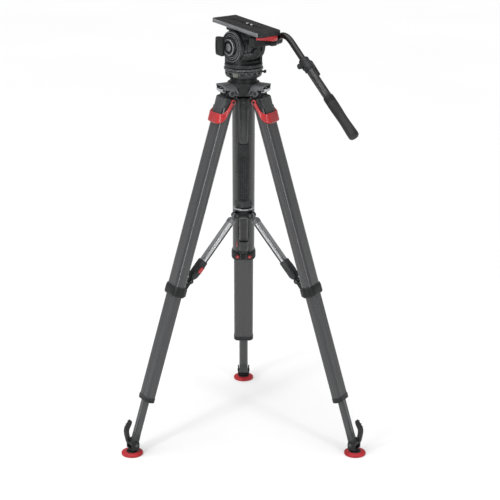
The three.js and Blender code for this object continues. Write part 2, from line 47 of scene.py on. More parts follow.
UP = Vector((0, 0, 1))
LEGS = ("back", "left", "right")
JOINTS = {joint["name"]: joint for joint in frame["joints"]}

# ---------------------------------------------------------------- local frames


def place(origin, y_axis, z_axis):
    """A frame from its origin, its Y axis and its Z axis."""
    x_axis = y_axis.cross(z_axis).normalized()
    turn = Matrix((x_axis, z_axis.cross(x_axis).normalized(), z_axis)).transposed().to_4x4()
    return Matrix.Translation(origin) @ turn


def at(joint):
    return Vector(JOINTS[joint]["pos_m"])


def along(joint):
    return Vector(JOINTS[joint]["axis"]).normalized()


def span(node, where):
    """Lowest and highest corner of a CAD node in a local frame, in millimetres."""
    inverse = where.inverted()
    points = [inverse @ vertex.co for vertex in frame["nodes"][node].data.vertices]
    low = Vector(min(p[i] for p in points) for i in range(3)) / MM
    high = Vector(max(p[i] for p in points) for i in range(3)) / MM
    return low, high


def leg_place(leg):
    """Origin on the hinge pin, X outward, Z up the leg."""
    return place(at("leg_swing_" + leg), -along("leg_swing_" + leg), -along("middle_slide_" + leg))


def foot_place(leg):
    """Origin on the ground under the ankle pin, X outward."""
    pin = at("foot_tilt_" + leg)
    return place(Vector((pin.x, pin.y, 0)), -along("foot_tilt_" + leg), UP)


def arm_place(leg, joint):
    """Origin on the hub pin or the bracket pin, Z up the spreader arm."""
    up_the_arm = (at("arm_swing_" + leg) - at("sleeve_swing_" + leg)).normalized()
    return place(at(joint + "_" + leg), -along("arm_swing_" + leg), up_the_arm)


CENTRE = Matrix.Translation((at("pan").x, at("pan").y, 0))
SIDE_TO_SIDE = along("tilt")
HEAD = place(Vector((at("pan").x, at("pan").y, 0)), UP.cross(SIDE_TO_SIDE), UP)
TILT = place(at("tilt"), along("plate_slide"), SIDE_TO_SIDE.cross(along("plate_slide")))
BAR_UP = -along("bar_length")
BAR_AXES = place(Vector(), BAR_UP.cross(SIDE_TO_SIDE), BAR_UP)
CLAMP_LOW, CLAMP_HIGH = span("bar_clamp", BAR_AXES)
BAR = BAR_AXES @ Matrix.Translation((CLAMP_LOW + CLAMP_HIGH) / 2 * MM)

# ---------------------------------------------------------------- mesh kit, in millimetres


def stack(rings, looped=False):
    """A closed mesh through a stack of rings: capped at both ends, or looped back to the first ring."""
    mesh = bmesh.new()
    loops = [[mesh.verts.new(point) for point in ring] for ring in rings]
    pairs = list(zip(loops, loops[1:]))
    if looped:
        pairs.append((loops[-1], loops[0]))
    for low, high in pairs:
        for i in range(len(low)):
            j = (i + 1) % len(low)
            mesh.faces.new((low[i], low[j], high[j], high[i]))
    if not looped:
        mesh.faces.new(loops[0][::-1])
        mesh.faces.new(loops[-1])
    bmesh.ops.recalc_face_normals(mesh, faces=mesh.faces)
    return mesh


def turned(profile, steps=64, axis="z", looped=False, wave=None):
    """Profile of (radius, height) points turned round an axis. wave(angle) scales the radius."""
    mesh = bmesh.new()
    rows = []
    for radius, height in profile:
        if radius < 1e-6:
            rows.append([mesh.verts.new((0, 0, height))] * steps)
            continue
        row = []
        for i in range(steps):
            angle = 2 * math.pi * i / steps
            reach = radius * (wave(angle) if wave else 1)
            row.append(mesh.verts.new((reach * math.cos(angle), reach * math.sin(angle), height)))
        rows.append(row)
    if looped:
        rows.append(rows[0])
    for low, high in zip(rows, rows[1:]):
        for i in range(steps):
            j = (i + 1) % steps
            corners = []
            for vertex in (low[i], low[j], high[j], high[i]):
                if vertex not in corners:
                    corners.append(vertex)
            if len(corners) > 2:
                mesh.faces.new(corners)
    for row in (rows[0], rows[-1]):
        if not looped and row[0] is not row[1]:
            mesh.faces.new(row)
    bmesh.ops.recalc_face_normals(mesh, faces=mesh.faces)
    return turn_to(mesh, axis)


def turn_to(mesh, axis):
    """Turns a mesh made along Z so that it runs along X or Y."""
    turns = {"x": Matrix.Rotation(math.pi / 2, 3, "Y"), "y": Matrix.Rotation(-math.pi / 2, 3, "X")}
    if axis in turns:
        bmesh.ops.transform(mesh, matrix=turns[axis], verts=mesh.verts)
    return mesh


def moved(mesh, x=0.0, y=0.0, z=0.0):
    bmesh.ops.translate(mesh, vec=(x, y, z), verts=mesh.verts)
    return mesh


def spun(mesh, degrees, axis="Z"):
    turn = Matrix.Rotation(math.radians(degrees), 3, axis)
    bmesh.ops.rotate(mesh, cent=(0, 0, 0), matrix=turn, verts=mesh.verts)
    return mesh


def oval(size_x, size_y, corner, z, x=0.0, y=0.0, steps=8):
    """Ring at height z: a rectangle with round corners."""
    points = []
    for quarter, (side_x, side_y) in enumerate(((1, 1), (-1, 1), (-1, -1), (1, -1))):
        for i in range(steps + 1):
            angle = (quarter + i / steps) * math.pi / 2
            points.append((
                x + side_x * (size_x / 2 - corner) + corner * math.cos(angle),
                y + side_y * (size_y / 2 - corner) + corner * math.sin(angle),
                z,
            ))
    return points


def grown(section, by, z, x=0.0):
    """Ring at height z: a section of (depth, width, corner radius) made larger all round."""
    depth, width, corner = section
    return oval(depth + 2 * by, width + 2 * by, corner + by, z, x)


def respaced(ring, count):
    """The same ring with evenly spaced points."""
    points = [Vector(p) for p in ring]
    lengths = [(points[(i + 1) % len(points)] - points[i]).length for i in range(len(points))]
    total = sum(lengths)
    result = []
    index = 0
    passed = 0.0
    for k in range(count):
        goal = total * k / count
        while passed + lengths[index] < goal:
            passed += lengths[index]
            index += 1
        share = (goal - passed) / max(lengths[index], 1e-9)
        result.append(points[index].lerp(points[(index + 1) % len(points)], share))
    return result


def inset(ring, depth_at):
    """Moves each point of a level ring inwards by depth_at(point)."""
    count = len(ring)
    result = []
    for i, point in enumerate(ring):
        tangent = ring[(i + 1) % count] - ring[i - 1]
        inward = Vector((-tangent.y, tangent.x, 0)).normalized()
        result.append(point + inward * depth_at(point))
    return result


def rounded(corners, radius, steps=5):
    """Outline of a polygon with its corners rounded. radius is one number, or one for each corner."""
    points = []
    count = len(corners)
    for i, corner in enumerate(corners):
        here = Vector(corner)
        before = Vector(corners[i - 1]) - here
        after = Vector(corners[(i + 1) % count]) - here
        size = radius[i] if isinstance(radius, (list, tuple)) else radius
        reach = min(size, 0.48 * before.length, 0.48 * after.length)
        if reach < 1e-3:
            points.append(tuple(here))
            continue
        start = here + before.normalized() * reach
        end = here + after.normalized() * reach
        for k in range(steps + 1):
            t = k / steps
            points.append(tuple((1 - t) ** 2 * start + 2 * t * (1 - t) * here + t * t * end))
    return points


def arc(x, y, radius, from_degrees, to_degrees, steps=16):
    angles = [math.radians(from_degrees + (to_degrees - from_degrees) * i / steps) for i in range(steps + 1)]
    return [(x + radius * math.cos(a), y + radius * math.sin(a)) for a in angles]


def rectangle(x0, x1, y0, y1):
    return [(x0, y0), (x1, y0), (x1, y1), (x0, y1)]


def prism(outline, low, high, axis="z", rim=0.6):
    """An outline pushed along an axis, with rounded rims. It is drawn in XY, in XZ or in YZ."""
    place_point = {
        "z": lambda u, v, w: (u, v, w),
        "y": lambda u, v, w: (u, w, v),
        "x": lambda u, v, w: (w, u, v),
    }[axis]
    mesh = stack([[place_point(u, v, level) for u, v in outline] for level in (low, high)])
    if rim:
        rims = [edge for edge in mesh.edges
                if any(len(face.verts) == len(outline) for face in edge.link_faces)]
        bmesh.ops.bevel(mesh, geom=rims, offset=rim, segments=3, profile=0.5, affect="EDGES",
                        clamp_overlap=True)
    return mesh


def brick(x0, x1, y0, y1, z0, z1, corner=1.0, rim=0.6, axis="z"):
    """A block with its edges rounded: corner along the axis, rim round its ends."""
    if axis == "z":
        return prism(rounded(rectangle(x0, x1, y0, y1), corner), z0, z1, "z", rim)
    if axis == "y":
        return prism(rounded(rectangle(x0, x1, z0, z1), corner), y0, y1, "y", rim)
    return prism(rounded(rectangle(y0, y1, z0, z1), corner), x0, x1, "x", rim)


def rod(radius, low, high, axis="z", edge=0.5, steps=40):
    """A cylinder with chamfered ends."""
    ends = [(0, low), (radius - edge, low), (radius, low + edge),
            (radius, high - edge), (radius - edge, high), (0, high)]
    return turned(ends, steps, axis)


def hoop(inner, outer, low, high, axis="z", steps=96):
    """A square-edged ring round an axis."""
    return turned([(inner, low), (outer, low), (outer, high), (inner, high)], steps, axis, looped=True)


def fluted(count, depth, power=1):
    """Radius factor of a turned piece with a number of shallow flutes."""
    return lambda angle: 1 - depth * (0.5 - 0.5 * math.cos(count * angle)) ** power


def both_sides(inner, outer):
    """Where two like plates lie, on either side of a middle plane."""
    return ((inner, outer), (-outer, -inner))


def both_ends(half):
    """A profile made of its upper half and the mirror image below it."""
    return [(radius, -height) for radius, height in half[::-1]] + half


def sweep(path, ring_at):
    """A closed mesh through a ring at each step of a path. ring_at(i) gives the ring's points."""
    return stack([ring_at(i) for i in range(len(path))])


def smooth_path(points, per_span=8):
    """Points along a smooth curve through a few chosen ones."""
    knots = [Vector(p) for p in points]
    knots = [2 * knots[0] - knots[1]] + knots + [2 * knots[-1] - knots[-2]]
    result = []
    for i in range(1, len(knots) - 2):
        a, b, c, d = knots[i - 1:i + 3]
        for k in range(per_span):
            t = k / per_span
            result.append(0.5 * (2 * b + (c - a) * t + (2 * a - 5 * b + 4 * c - d) * t * t
                                 + (3 * b - a - 3 * c + d) * t ** 3))
    result.append(knots[-2])
    return result


def to_object(mesh, name="part"):
    data = bpy.data.meshes.new(name)
    mesh.to_mesh(data)
    mesh.free()
    made = bpy.data.objects.new(name, data)
    bpy.context.scene.collection.objects.link(made)
    return made


def applied(made):
    """The mesh of an object with its modifiers applied; the object is removed."""
    view = bpy.context.evaluated_depsgraph_get()
    mesh = bmesh.new()
    mesh.from_object(made, view)
    bpy.data.objects.remove(made)
    return mesh


def combine(base, add=(), cut=(), keep=()):
    """Joins meshes to a base, cuts others out of it, and keeps what lies inside the last ones."""
    made = to_object(base)
    tools = []
    for operation, meshes in (("UNION", add), ("DIFFERENCE", cut), ("INTERSECT", keep)):
        for tool_mesh in meshes:
            tool = to_object(tool_mesh)
            modifier = made.modifiers.new("join", "BOOLEAN")
            modifier.operation = operation
            modifier.solver = "MANIFOLD"
            modifier.object = tool
            tools.append(tool)
    mesh = applied(made)
    for tool in tools:
        bpy.data.objects.remove(tool)
    bmesh.ops.remove_doubles(mesh, verts=mesh.verts, dist=0.002)
    return mesh


def cast(mesh, voxel=1.0, passes=4):
    """Rounds every edge, as a casting or a moulding has it."""
    made = to_object(mesh)
    remesh = made.modifiers.new("even", "REMESH")
    remesh.mode = "VOXEL"
    remesh.voxel_size = voxel
    soften = made.modifiers.new("soft", "SMOOTH")
    soften.factor = 0.5
    soften.iterations = passes
    return applied(made)


def hex_screw(radius, height, socket=0.45, sides=24):
    """A low round screw head with a hexagon socket, along +Z from 0."""
    def circle(size, z):
        return [(size * math.cos(2 * math.pi * i / sides), size * math.sin(2 * math.pi * i / sides), z)
                for i in range(sides)]

    def hexagon(size, z):
        points = []
        for i in range(sides):
            angle = 2 * math.pi * i / sides
            off_corner = (angle % (math.pi / 3)) - math.pi / 6
            reach = size * math.cos(math.pi / 6) / math.cos(off_corner)
            points.append((reach * math.cos(angle), reach * math.sin(angle), z))
        return points

    edge = 0.15 * radius
    return stack([
        circle(radius, 0), circle(radius, height - edge), circle(radius - edge, height),
        hexagon(radius * socket, height), hexagon(radius * socket, 0.3 * height),
    ])


# ---------------------------------------------------------------- materials


class Finish:
    """A principled material with procedural detail. Lengths are in metres on the object."""

    def __init__(self, slot, rough, metal=0.0, coat=0.0, coat_rough=0.1, specular=0.5):
        self.slot = slot
        self.rough = rough
        self.material = bpy.data.materials.new(slot)
        self.material.use_nodes = True
        self.tree = self.material.node_tree
        self.shader = self.tree.nodes["Principled BSDF"]
        self.shader.inputs["Metallic"].default_value = metal
        self.shader.inputs["Coat Weight"].default_value = coat
        self.shader.inputs["Coat Roughness"].default_value = coat_rough
        self.shader.inputs["Specular IOR Level"].default_value = specular
        self.where = self.node("ShaderNodeTexCoord").outputs["Object"]
        self.height = None

    def node(self, kind, **values):
        made = self.tree.nodes.new(kind)
        for key, value in values.items():
            setattr(made, key, value)
        return made

    def link(self, source, target):
        self.tree.links.new(source, target)

    def calc(self, operation, a, b=0.0):
        """Arithmetic on two values or sockets."""
        made = self.node("ShaderNodeMath", operation=operation)
        for i, value in enumerate((a, b)):
            if isinstance(value, (int, float)):
                made.inputs[i].default_value = value
            else:
                self.link(value, made.inputs[i])
        return made.outputs[0]

    def noise(self, size, detail=3.0, stretch=(1, 1, 1)):
        """Noise from 0 to 1 whose blotches are about size across, times stretch."""
        mapping = self.node("ShaderNodeMapping")
        mapping.inputs["Scale"].default_value = [1 / (size * s) for s in stretch]
        self.link(self.where, mapping.inputs["Vector"])
        made = self.node("ShaderNodeTexNoise")
        made.inputs["Scale"].default_value = 1.0
        made.inputs["Detail"].default_value = detail
        self.link(mapping.outputs["Vector"], made.inputs["Vector"])
        return made.outputs["Fac"]

    def ranged(self, value, low, high, to_low=0.0, to_high=1.0):
        """A value mapped smoothly from one range to another, and held at its ends."""
        made = self.node("ShaderNodeMapRange")
        made.interpolation_type = "SMOOTHSTEP"
        self.link(value, made.inputs["Value"])
        for key, number in (("From Min", low), ("From Max", high), ("To Min", to_low), ("To Max", to_high)):
            made.inputs[key].default_value = number
        return made.outputs["Result"]

    def blend(self, factor, a, b):
        """Colour between a and b; each is a colour or a socket."""
        made = self.node("ShaderNodeMix", data_type="RGBA")
        self.link(factor, made.inputs["Factor"])
        for key, value in ((6, a), (7, b)):
            if isinstance(value, tuple):
                made.inputs[key].default_value = (*value, 1)
            else:
                self.link(value, made.inputs[key])
        return made.outputs[2]

    def colour(self, dark, light, size=0.03):
        """Soft blotches between two tones, with a faint finer mottle."""
        patches = self.ranged(self.noise(size, 4.0), 0.3, 0.7)
        self.tone = self.blend(patches, dark, light)
        return self

    def worn(self, bare, amount=0.5, sharpness=0.06):
        """Bare colour on sharp outer edges, broken up by noise."""
        pointed = self.node("ShaderNodeNewGeometry").outputs["Pointiness"]
        edge = self.ranged(pointed, 0.5 + 0.3 * sharpness, 0.5 + sharpness, 0.0, amount)
        broken = self.ranged(self.noise(0.004, 5.0), 0.42, 0.6)
        self.tone = self.blend(self.calc("MULTIPLY", edge, broken), self.tone, bare)
        return self

    def dusty(self, dust, amount=0.25, size=0.05):
        """A faint dull film that lies in broad patches."""
        film = self.ranged(self.noise(size, 6.0), 0.52, 0.75, 0.0, amount)
        self.tone = self.blend(film, self.tone, dust)
        return self

    def bump(self, height, strength, distance):
        made = self.node("ShaderNodeBump")
        made.inputs["Strength"].default_value = strength
        made.inputs["Distance"].default_value = distance
        self.link(height, made.inputs["Height"])
        if self.height is not None:
            self.link(self.height, made.inputs["Normal"])
        self.height = made.outputs["Normal"]
        return self

    def done(self, rough_spread=0.06, rough_size=0.02):
        uneven = self.noise(rough_size, 5.0)
        rough = self.ranged(uneven, 0.3, 0.7, self.rough - rough_spread, self.rough + rough_spread)
        self.link(rough, self.shader.inputs["Roughness"])
        self.link(self.tone, self.shader.inputs["Base Color"])
        if self.height is not None:
            self.link(self.height, self.shader.inputs["Normal"])
        return self


def carbon_finish():
    """Twill weave under satin lacquer: rows step by one tow, so the pattern runs diagonally."""
    made = Finish("carbon", 0.34, coat=0.45, coat_rough=0.16)
    tow = 0.0013
    split = made.node("ShaderNodeSeparateXYZ")
    made.link(made.where, split.inputs[0])
    around = made.calc("DIVIDE", made.calc("ADD", split.outputs[0], split.outputs[1]), tow)
    down = made.calc("DIVIDE", split.outputs[2], tow)
    row = made.calc("ADD", made.calc("FLOOR", around), made.calc("FLOOR", down))
    over = made.calc("LESS_THAN", made.calc("FLOORED_MODULO", row, 4.0), 2.0)
    lengthwise = made.noise(0.0005, 2.0, (1, 1, 14))
    crosswise = made.noise(0.0005, 2.0, (14, 14, 1))
    fibres = made.calc("ADD", made.calc("MULTIPLY", lengthwise, over),
                       made.calc("MULTIPLY", crosswise, made.calc("SUBTRACT", 1.0, over)))
    weave = made.calc("ADD", made.calc("MULTIPLY", over, 0.35), made.calc("MULTIPLY", fibres, 0.65))
    made.tone = made.blend(weave, (0.021, 0.0215, 0.023), (0.046, 0.047, 0.050))
    made.dusty((0.06, 0.06, 0.062), 0.15, 0.06)
    made.bump(weave, 0.12, 0.0001)
    return made.done(0.07, 0.03)


def grained(slot, dark, light, rough, grain=0.0007, strength=0.35, bare=None, **shader):
    """Painted or moulded surface with an even fine grain."""
    made = Finish(slot, rough, **shader).colour(dark, light)
    if bare:
        made.worn(bare)
    made.dusty(tuple(1.5 * c + 0.006 for c in light), 0.18)
    made.bump(made.noise(grain, 2.0), strength, 0.00025)
    made.bump(made.noise(0.012, 3.0), 0.12, 0.0004)
    return made.done()


def brushed(slot, dark, light, rough, stretch, metal=1.0):
    """Metal with fine lines along one direction."""
    made = Finish(slot, rough, metal=metal).colour(dark, light, 0.05)
    lines = made.noise(0.0004, 4.0, stretch)
    made.tone = made.blend(made.ranged(lines, 0.35, 0.7, 0.0, 0.35), made.tone, tuple(0.6 * c for c in dark))
    made.bump(lines, 0.12, 0.0001)
    made.worn((0.75, 0.76, 0.77), 0.4)
    return made.done(0.08, 0.03)


def glossy(slot, dark, light, rough, coat=0.4, bare=None, **shader):
    """Smooth lacquer with a faint orange peel and fine hairline scratches."""
    made = Finish(slot, rough, coat=coat, coat_rough=0.12, **shader).colour(dark, light, 0.04)
    scratches = made.ranged(made.noise(0.002, 3.0, (1, 1, 30)), 0.66, 0.74, 0.0, 0.22)
    made.tone = made.blend(scratches, made.tone, tuple(min(1.0, 1.8 * c + 0.03) for c in light))
    if bare:
        made.worn(bare)
    made.bump(made.noise(0.004, 2.0), 0.06, 0.0004)
    made.bump(made.noise(0.0006, 2.0), 0.05, 0.0001)
    return made.done(0.05)


def rubbery(slot, dark, light, rough, pores=0.0009):
    made = Finish(slot, rough, specular=0.35).colour(dark, light, 0.025)
    made.dusty(tuple(1.4 * c + 0.008 for c in light), 0.3, 0.03)
    made.bump(made.noise(pores, 3.0), 0.5, 0.0003)
    return made.done(0.08)


def liquid_finish():
    made = Finish("liquid", 0.06, coat=1.0, coat_rough=0.02)
    made.colour((0.075, 0.084, 0.066), (0.112, 0.122, 0.096), 0.004)
    return made.done(0.02)


LOOKS = {
    "casting": grained("casting", (0.072, 0.075, 0.079), (0.110, 0.114, 0.118), 0.42, metal=0.4,
                       bare=(0.3, 0.31, 0.32)),
    "pale_casting": grained("casting", (0.14, 0.145, 0.15), (0.21, 0.215, 0.22), 0.38, metal=0.6,
                            bare=(0.4, 0.41, 0.42)),
    "carbon": carbon_finish(),
    "black_plastic": grained("black_plastic", (0.0055, 0.006, 0.0065), (0.0105, 0.011, 0.012), 0.45,
                             bare=(0.05, 0.052, 0.055), specular=0.3),
    "grey_plastic": grained("grey_plastic", (0.036, 0.040, 0.040), (0.054, 0.059, 0.059), 0.5, 0.0009, 0.4,
                            bare=(0.12, 0.125, 0.13), specular=0.35),
    "dark_grey": grained("grey_plastic", (0.017, 0.018, 0.019), (0.026, 0.0275, 0.029), 0.5, 0.0009, 0.4,
                         bare=(0.09, 0.092, 0.095), specular=0.35),
    "head_casting": grained("head_casting", (0.012, 0.0125, 0.0135), (0.022, 0.023, 0.025), 0.4, 0.0006, 0.3,
                            metal=0.25, bare=(0.2, 0.21, 0.22)),
    "red_lever": glossy("red_lever", (0.34, 0.010, 0.014), (0.46, 0.018, 0.022), 0.3, 0.4),
    "red_rubber": rubbery("red_rubber", (0.30, 0.010, 0.016), (0.42, 0.018, 0.026), 0.5),
    "silver": brushed("silver", (0.40, 0.41, 0.42), (0.52, 0.53, 0.54), 0.36, (1, 1, 60)),
    "steel": brushed("steel", (0.42, 0.42, 0.43), (0.55, 0.55, 0.56), 0.3, (1, 12, 1)),
    "gloss_black": glossy("gloss_black", (0.004, 0.0042, 0.0047), (0.008, 0.0084, 0.009), 0.22, 0.2,
                          bare=(0.08, 0.08, 0.085), specular=0.3),
    "rubber": rubbery("rubber", (0.008, 0.008, 0.009), (0.015, 0.015, 0.016), 0.55),
    "plate_top": rubbery("plate_top", (0.007, 0.007, 0.008), (0.013, 0.013, 0.0145), 0.7, 0.0014),
    "liquid": liquid_finish(),
}

SHARP_ABOVE = math.radians(34)


def piece(name, mesh, where, body, look, replaces=()):
    """Makes one visible piece that rides on a body, and may stand for CAD nodes."""
    bmesh.ops.scale(mesh, vec=(MM, MM, MM), verts=mesh.verts)
    made = to_object(mesh, name)
    made.data.shade_smooth()
    made.data.set_sharp_from_angle(angle=SHARP_ABOVE)
    made.data.materials.append(LOOKS[look].material)
    made.matrix_world = where
    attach(made, body)
    if replaces:
        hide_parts(*replaces)
    return made


def on_each_leg(name, mesh, place_of, body, look, replaces=None):
    """The same piece on all three legs. body and replaces are name stems."""
    for leg in LEGS:
        stands_for = [replaces + "_" + leg] if replaces else []
        piece(name + "_" + leg, mesh.copy(), place_of(leg), body + "_" + leg, look, stands_for)
    mesh.free()


# ---------------------------------------------------------------- legs

SAMPLE = LEGS[0]
UPPER_LOW, UPPER_HIGH = span("upper_tube_" + SAMPLE, leg_place(SAMPLE))
MIDDLE_LOW, MIDDLE_HIGH = span("middle_tube_" + SAMPLE, leg_place(SAMPLE))
LOWER_LOW, LOWER_HIGH = span("lower_tube_" + SAMPLE, leg_place(SAMPLE))
COLLAR_LOW, COLLAR_HIGH = span("leg_collar_" + SAMPLE, leg_place(SAMPLE))
MIDDLE_CAP = 1.0

# Sections of the tubes: depth, width and corner radius.
UPPER = (UPPER_HIGH.x - UPPER_LOW.x, UPPER_HIGH.y - UPPER_LOW.y, 15.5)
MIDDLE = (MIDDLE_HIGH.x - MIDDLE_LOW.x - 2 * MIDDLE_CAP, MIDDLE_HIGH.y - MIDDLE_LOW.y - 2 * MIDDLE_CAP, 12.0)
LOWER = (19.0, 26.5, 8.5)
LOWER_OFFSET = 2.2

COLLAR_TOP = -545.0
BRACKET_X = -36.0
BRACKET_Z = -528.0
ANKLE = at("foot_tilt_" + SAMPLE).z / MM


def hinge():
    """Hinge knuckle and block in black, and the grey grained shoulder over them."""
    barrel = 11.0
    half_barrel = 19.0
    block = stack([
        oval(30, 44, 12, -11), oval(35.5, 62, 15, -15.5),
        oval(35.5, 66.5, 16.5, -19), oval(35.5, 66.5, 16.5, -41.7),
    ])
    knuckle = rod(barrel, -half_barrel, half_barrel, "y", 1.0)
    neck = brick(-barrel, barrel, -half_barrel, half_barrel, -17, 0, 2)
    eye = rod(4.1, -half_barrel - 1, half_barrel + 1, "y", 0)
    middle_slots = [brick(-20, 20, y - 1.2, y + 1.2, -10.5, 14, 0, 0, "x") for y in (-8, 8)]
    block_mesh = combine(block, add=[knuckle, neck], cut=[eye] + middle_slots)
    on_each_leg("hinge_block", block_mesh, leg_place, "leg", "black_plastic", "leg_hinge")

    top, bottom = -17.0, -80.0
    tube_top = UPPER_HIGH.z
    rounding_from = 0.94
    rings = []
    steps = 24
    for i in range(steps + 1):
        t = i / steps
        z = top + (bottom - top) * t
        half_width = 27.5 - 7.0 * t ** 1.5 - 14.0 * max(0.0, t - rounding_from)
        front = 20.7 - 0.9 * math.cos(2 * math.pi * min(1.0, 1.5 * t)) * (1 - t)
        back = 17.2 if z < tube_top else 14.0
        rings.append(shoulder_ring(half_width, back, front, z))
    on_each_leg("shoulder_cover", stack(rings), leg_place, "leg", "grey_plastic")


def shoulder_ring(half_width, back, front, z):
    """Cross-section of the shoulder cover: flat behind, crowned in front, with rolled edges."""
    points = [(back, -half_width + 3, z), (back, half_width - 3, z)]
    steps = 14
    for i in range(steps + 1):
        y = half_width * math.cos(math.pi * i / steps)
        bulge = (1 - abs(y / half_width) ** 3.2)
        points.append((back + 0.6 + (front - back - 0.6) * bulge, y, z))
    return points


def hinge_pins():
    """Hinge pins with domed end caps, held in the crown's ears."""
    shaft = both_ends([(4, 26.6), (5, 26.6), (5, 27.2), (3.6, 28.2), (0, 28.2)])
    for leg in LEGS:
        piece("hinge_pin_" + leg, turned(shaft, 32, "y"), leg_place(leg), "crown", "black_plastic")


def side_groove(point):
    """Lengthwise groove on both round sides of the upper tube, toward its outer face."""
    low, high, depth = 3.5, 9.5, 1.0
    if abs(point.y) < 20:
        return 0.0
    return depth * max(0.0, min(1.0, (point.x - low) / 0.8, (high - point.x) / 0.8))


def hollow_tube(section, wall, low, high, count, groove, inner_groove=None, x=0.0):
    """A tube with shallow grooves, drawn with count points round it."""
    def ring(by, z, carve):
        points = respaced(grown(section, by, z, x), count)
        return inset(points, carve) if carve else points

    return stack([ring(0, low, groove), ring(0, high, groove),
                  ring(-wall, high, inner_groove), ring(-wall, low, inner_groove)], looped=True)


def upper_tubes():
    tube = hollow_tube(UPPER, 1.6, UPPER_LOW.z, UPPER_HIGH.z, 168, side_groove, side_groove)
    on_each_leg("upper_tube", tube, leg_place, "leg", "carbon", "upper_tube")


def channel_covers():
    """Cover strip of the brake rod's channel, down the inner face of the leg."""
    face = UPPER_LOW.x
    half = 14.6
    out = face - 1.9
    top, window, ribs = -44.0, -143.0, -215.0
    bottom = -543.0

    head = brick(out, face + 0.3, -half, half, window + 1.5, top, 1.2, 0.5, "x")
    slots = [brick(out - 1, out + 0.9, -8, 8, z - 1.6, z + 1.6, 1.2, 0, "x") for z in (-62, -71, -80)]
    on_each_leg("channel_head", combine(head, cut=slots), leg_place, "leg", "grey_plastic")

    catch = brick(out + 0.6, face + 0.3, -half + 1, half - 1, window - 31, window, 1, 0.4, "x")
    thumb = brick(out - 0.8, out + 1.5, -4, 9, window - 26, window - 7, 2, 0.6, "x")
    on_each_leg("channel_catch", combine(catch, add=[thumb]), leg_place, "leg", "black_plastic")

    strip = brick(out, face + 0.3, -half, half, bottom, window - 33.5, 1.2, 0.5, "x")
    grooves = [brick(out - 1, out + 1.2, y - 1, y + 1, bottom - 2, ribs, 0.8, 0, "x") for y in (-9, -3, 3, 9)]
    on_each_leg("channel_strip", combine(strip, cut=grooves), leg_place, "leg", "dark_grey")

    for side, sign in (("a", -1), ("b", 1)):
        y = sign * (half + 1.2)
        rail = brick(face - 1.1, face + 0.3, y - 0.6, y + 0.6, bottom, top, 0.3, 0.2, "x")
        on_each_leg("channel_rail_" + side, rail, leg_place, "leg", "black_plastic")
        clip = brick(face - 3, face + 0.3, sign * 9 - 1, sign * 9 + 1, -60, -46, 0.8, 0.3, "x")
        on_each_leg("channel_clip_" + side, clip, leg_place, "leg", "pale_casting")


def eye_plate(eye_x, eye_z, radius, root, y0, y1):
    """A lug: a plate in XZ with a round eye on its inner side and a root between two points."""
    outline = arc(eye_x, eye_z, radius, 95, 265, 14) + root
    bore = moved(rod(3.3, y0 - 1, y1 + 1, "y", 0), eye_x, 0, eye_z)
    return combine(prism(outline, y0, y1, "y", 0.5), cut=[bore])


def collars():
    """Clamp collar at the foot of the upper tube, with the lugs of the spreader link."""
    top, bottom = COLLAR_TOP, COLLAR_LOW.z
    width, depth = COLLAR_HIGH.y - COLLAR_LOW.y, 2 * COLLAR_HIGH.x
    tube_end = UPPER_LOW.z - 0.3
    rings = []
    steps = 14
    for i in range(steps + 1):
        t = i / steps
        z = bottom + (top - bottom) * t
        waist = 1.7 * max(0.0, 0.12 - t) / 0.12 + 2.0 * max(0.0, (t - 0.6) / 0.4) ** 1.6
        rings.append(grown((depth, width, 18), -waist, z))
    for section, gap, ends in ((UPPER, 0.35, (top, tube_end)), (MIDDLE, 0.6, (tube_end, bottom))):
        rings += [grown(section, gap, z) for z in ends]
    root = [(-36, -536), (-22, bottom + 2), (-18.2, bottom + 2), (-18.2, top - 3)]
    lugs = [eye_plate(BRACKET_X, BRACKET_Z, 7.5, root, *ends) for ends in both_sides(6.3, 10.8)]
    pads = [brick(-21.3, -17.2, side * 19 - 7.5, side * 19 + 7.5, -571, -548, 3, 1, "x") for side in (-1, 1)]
    body = combine(stack(rings, looped=True), add=lugs + pads)
    on_each_leg("leg_collar", body, leg_place, "leg", "black_plastic", "leg_collar")

    for side, y in (("a", 17.5), ("b", -17.5)):
        dot = moved(turned([(0, 0), (5.4, 0), (5.4, 1.6), (4.2, 2.4), (0, 2.6)], 28, "x"), 0, y, -559)
        bmesh.ops.scale(dot, vec=(-1, 1, 1), verts=dot.verts)
        bmesh.ops.recalc_face_normals(dot, faces=dot.faces)
        on_each_leg("collar_stud_" + side, moved(dot, -21.1), leg_place, "leg", "red_lever")
    pin = turned(both_ends([(3, 11), (3.8, 11), (3.4, 12.2), (0, 12.2)]), 28, "y")
    on_each_leg("bracket_pin", moved(pin, BRACKET_X, 0, BRACKET_Z), leg_place, "leg", "grey_plastic")


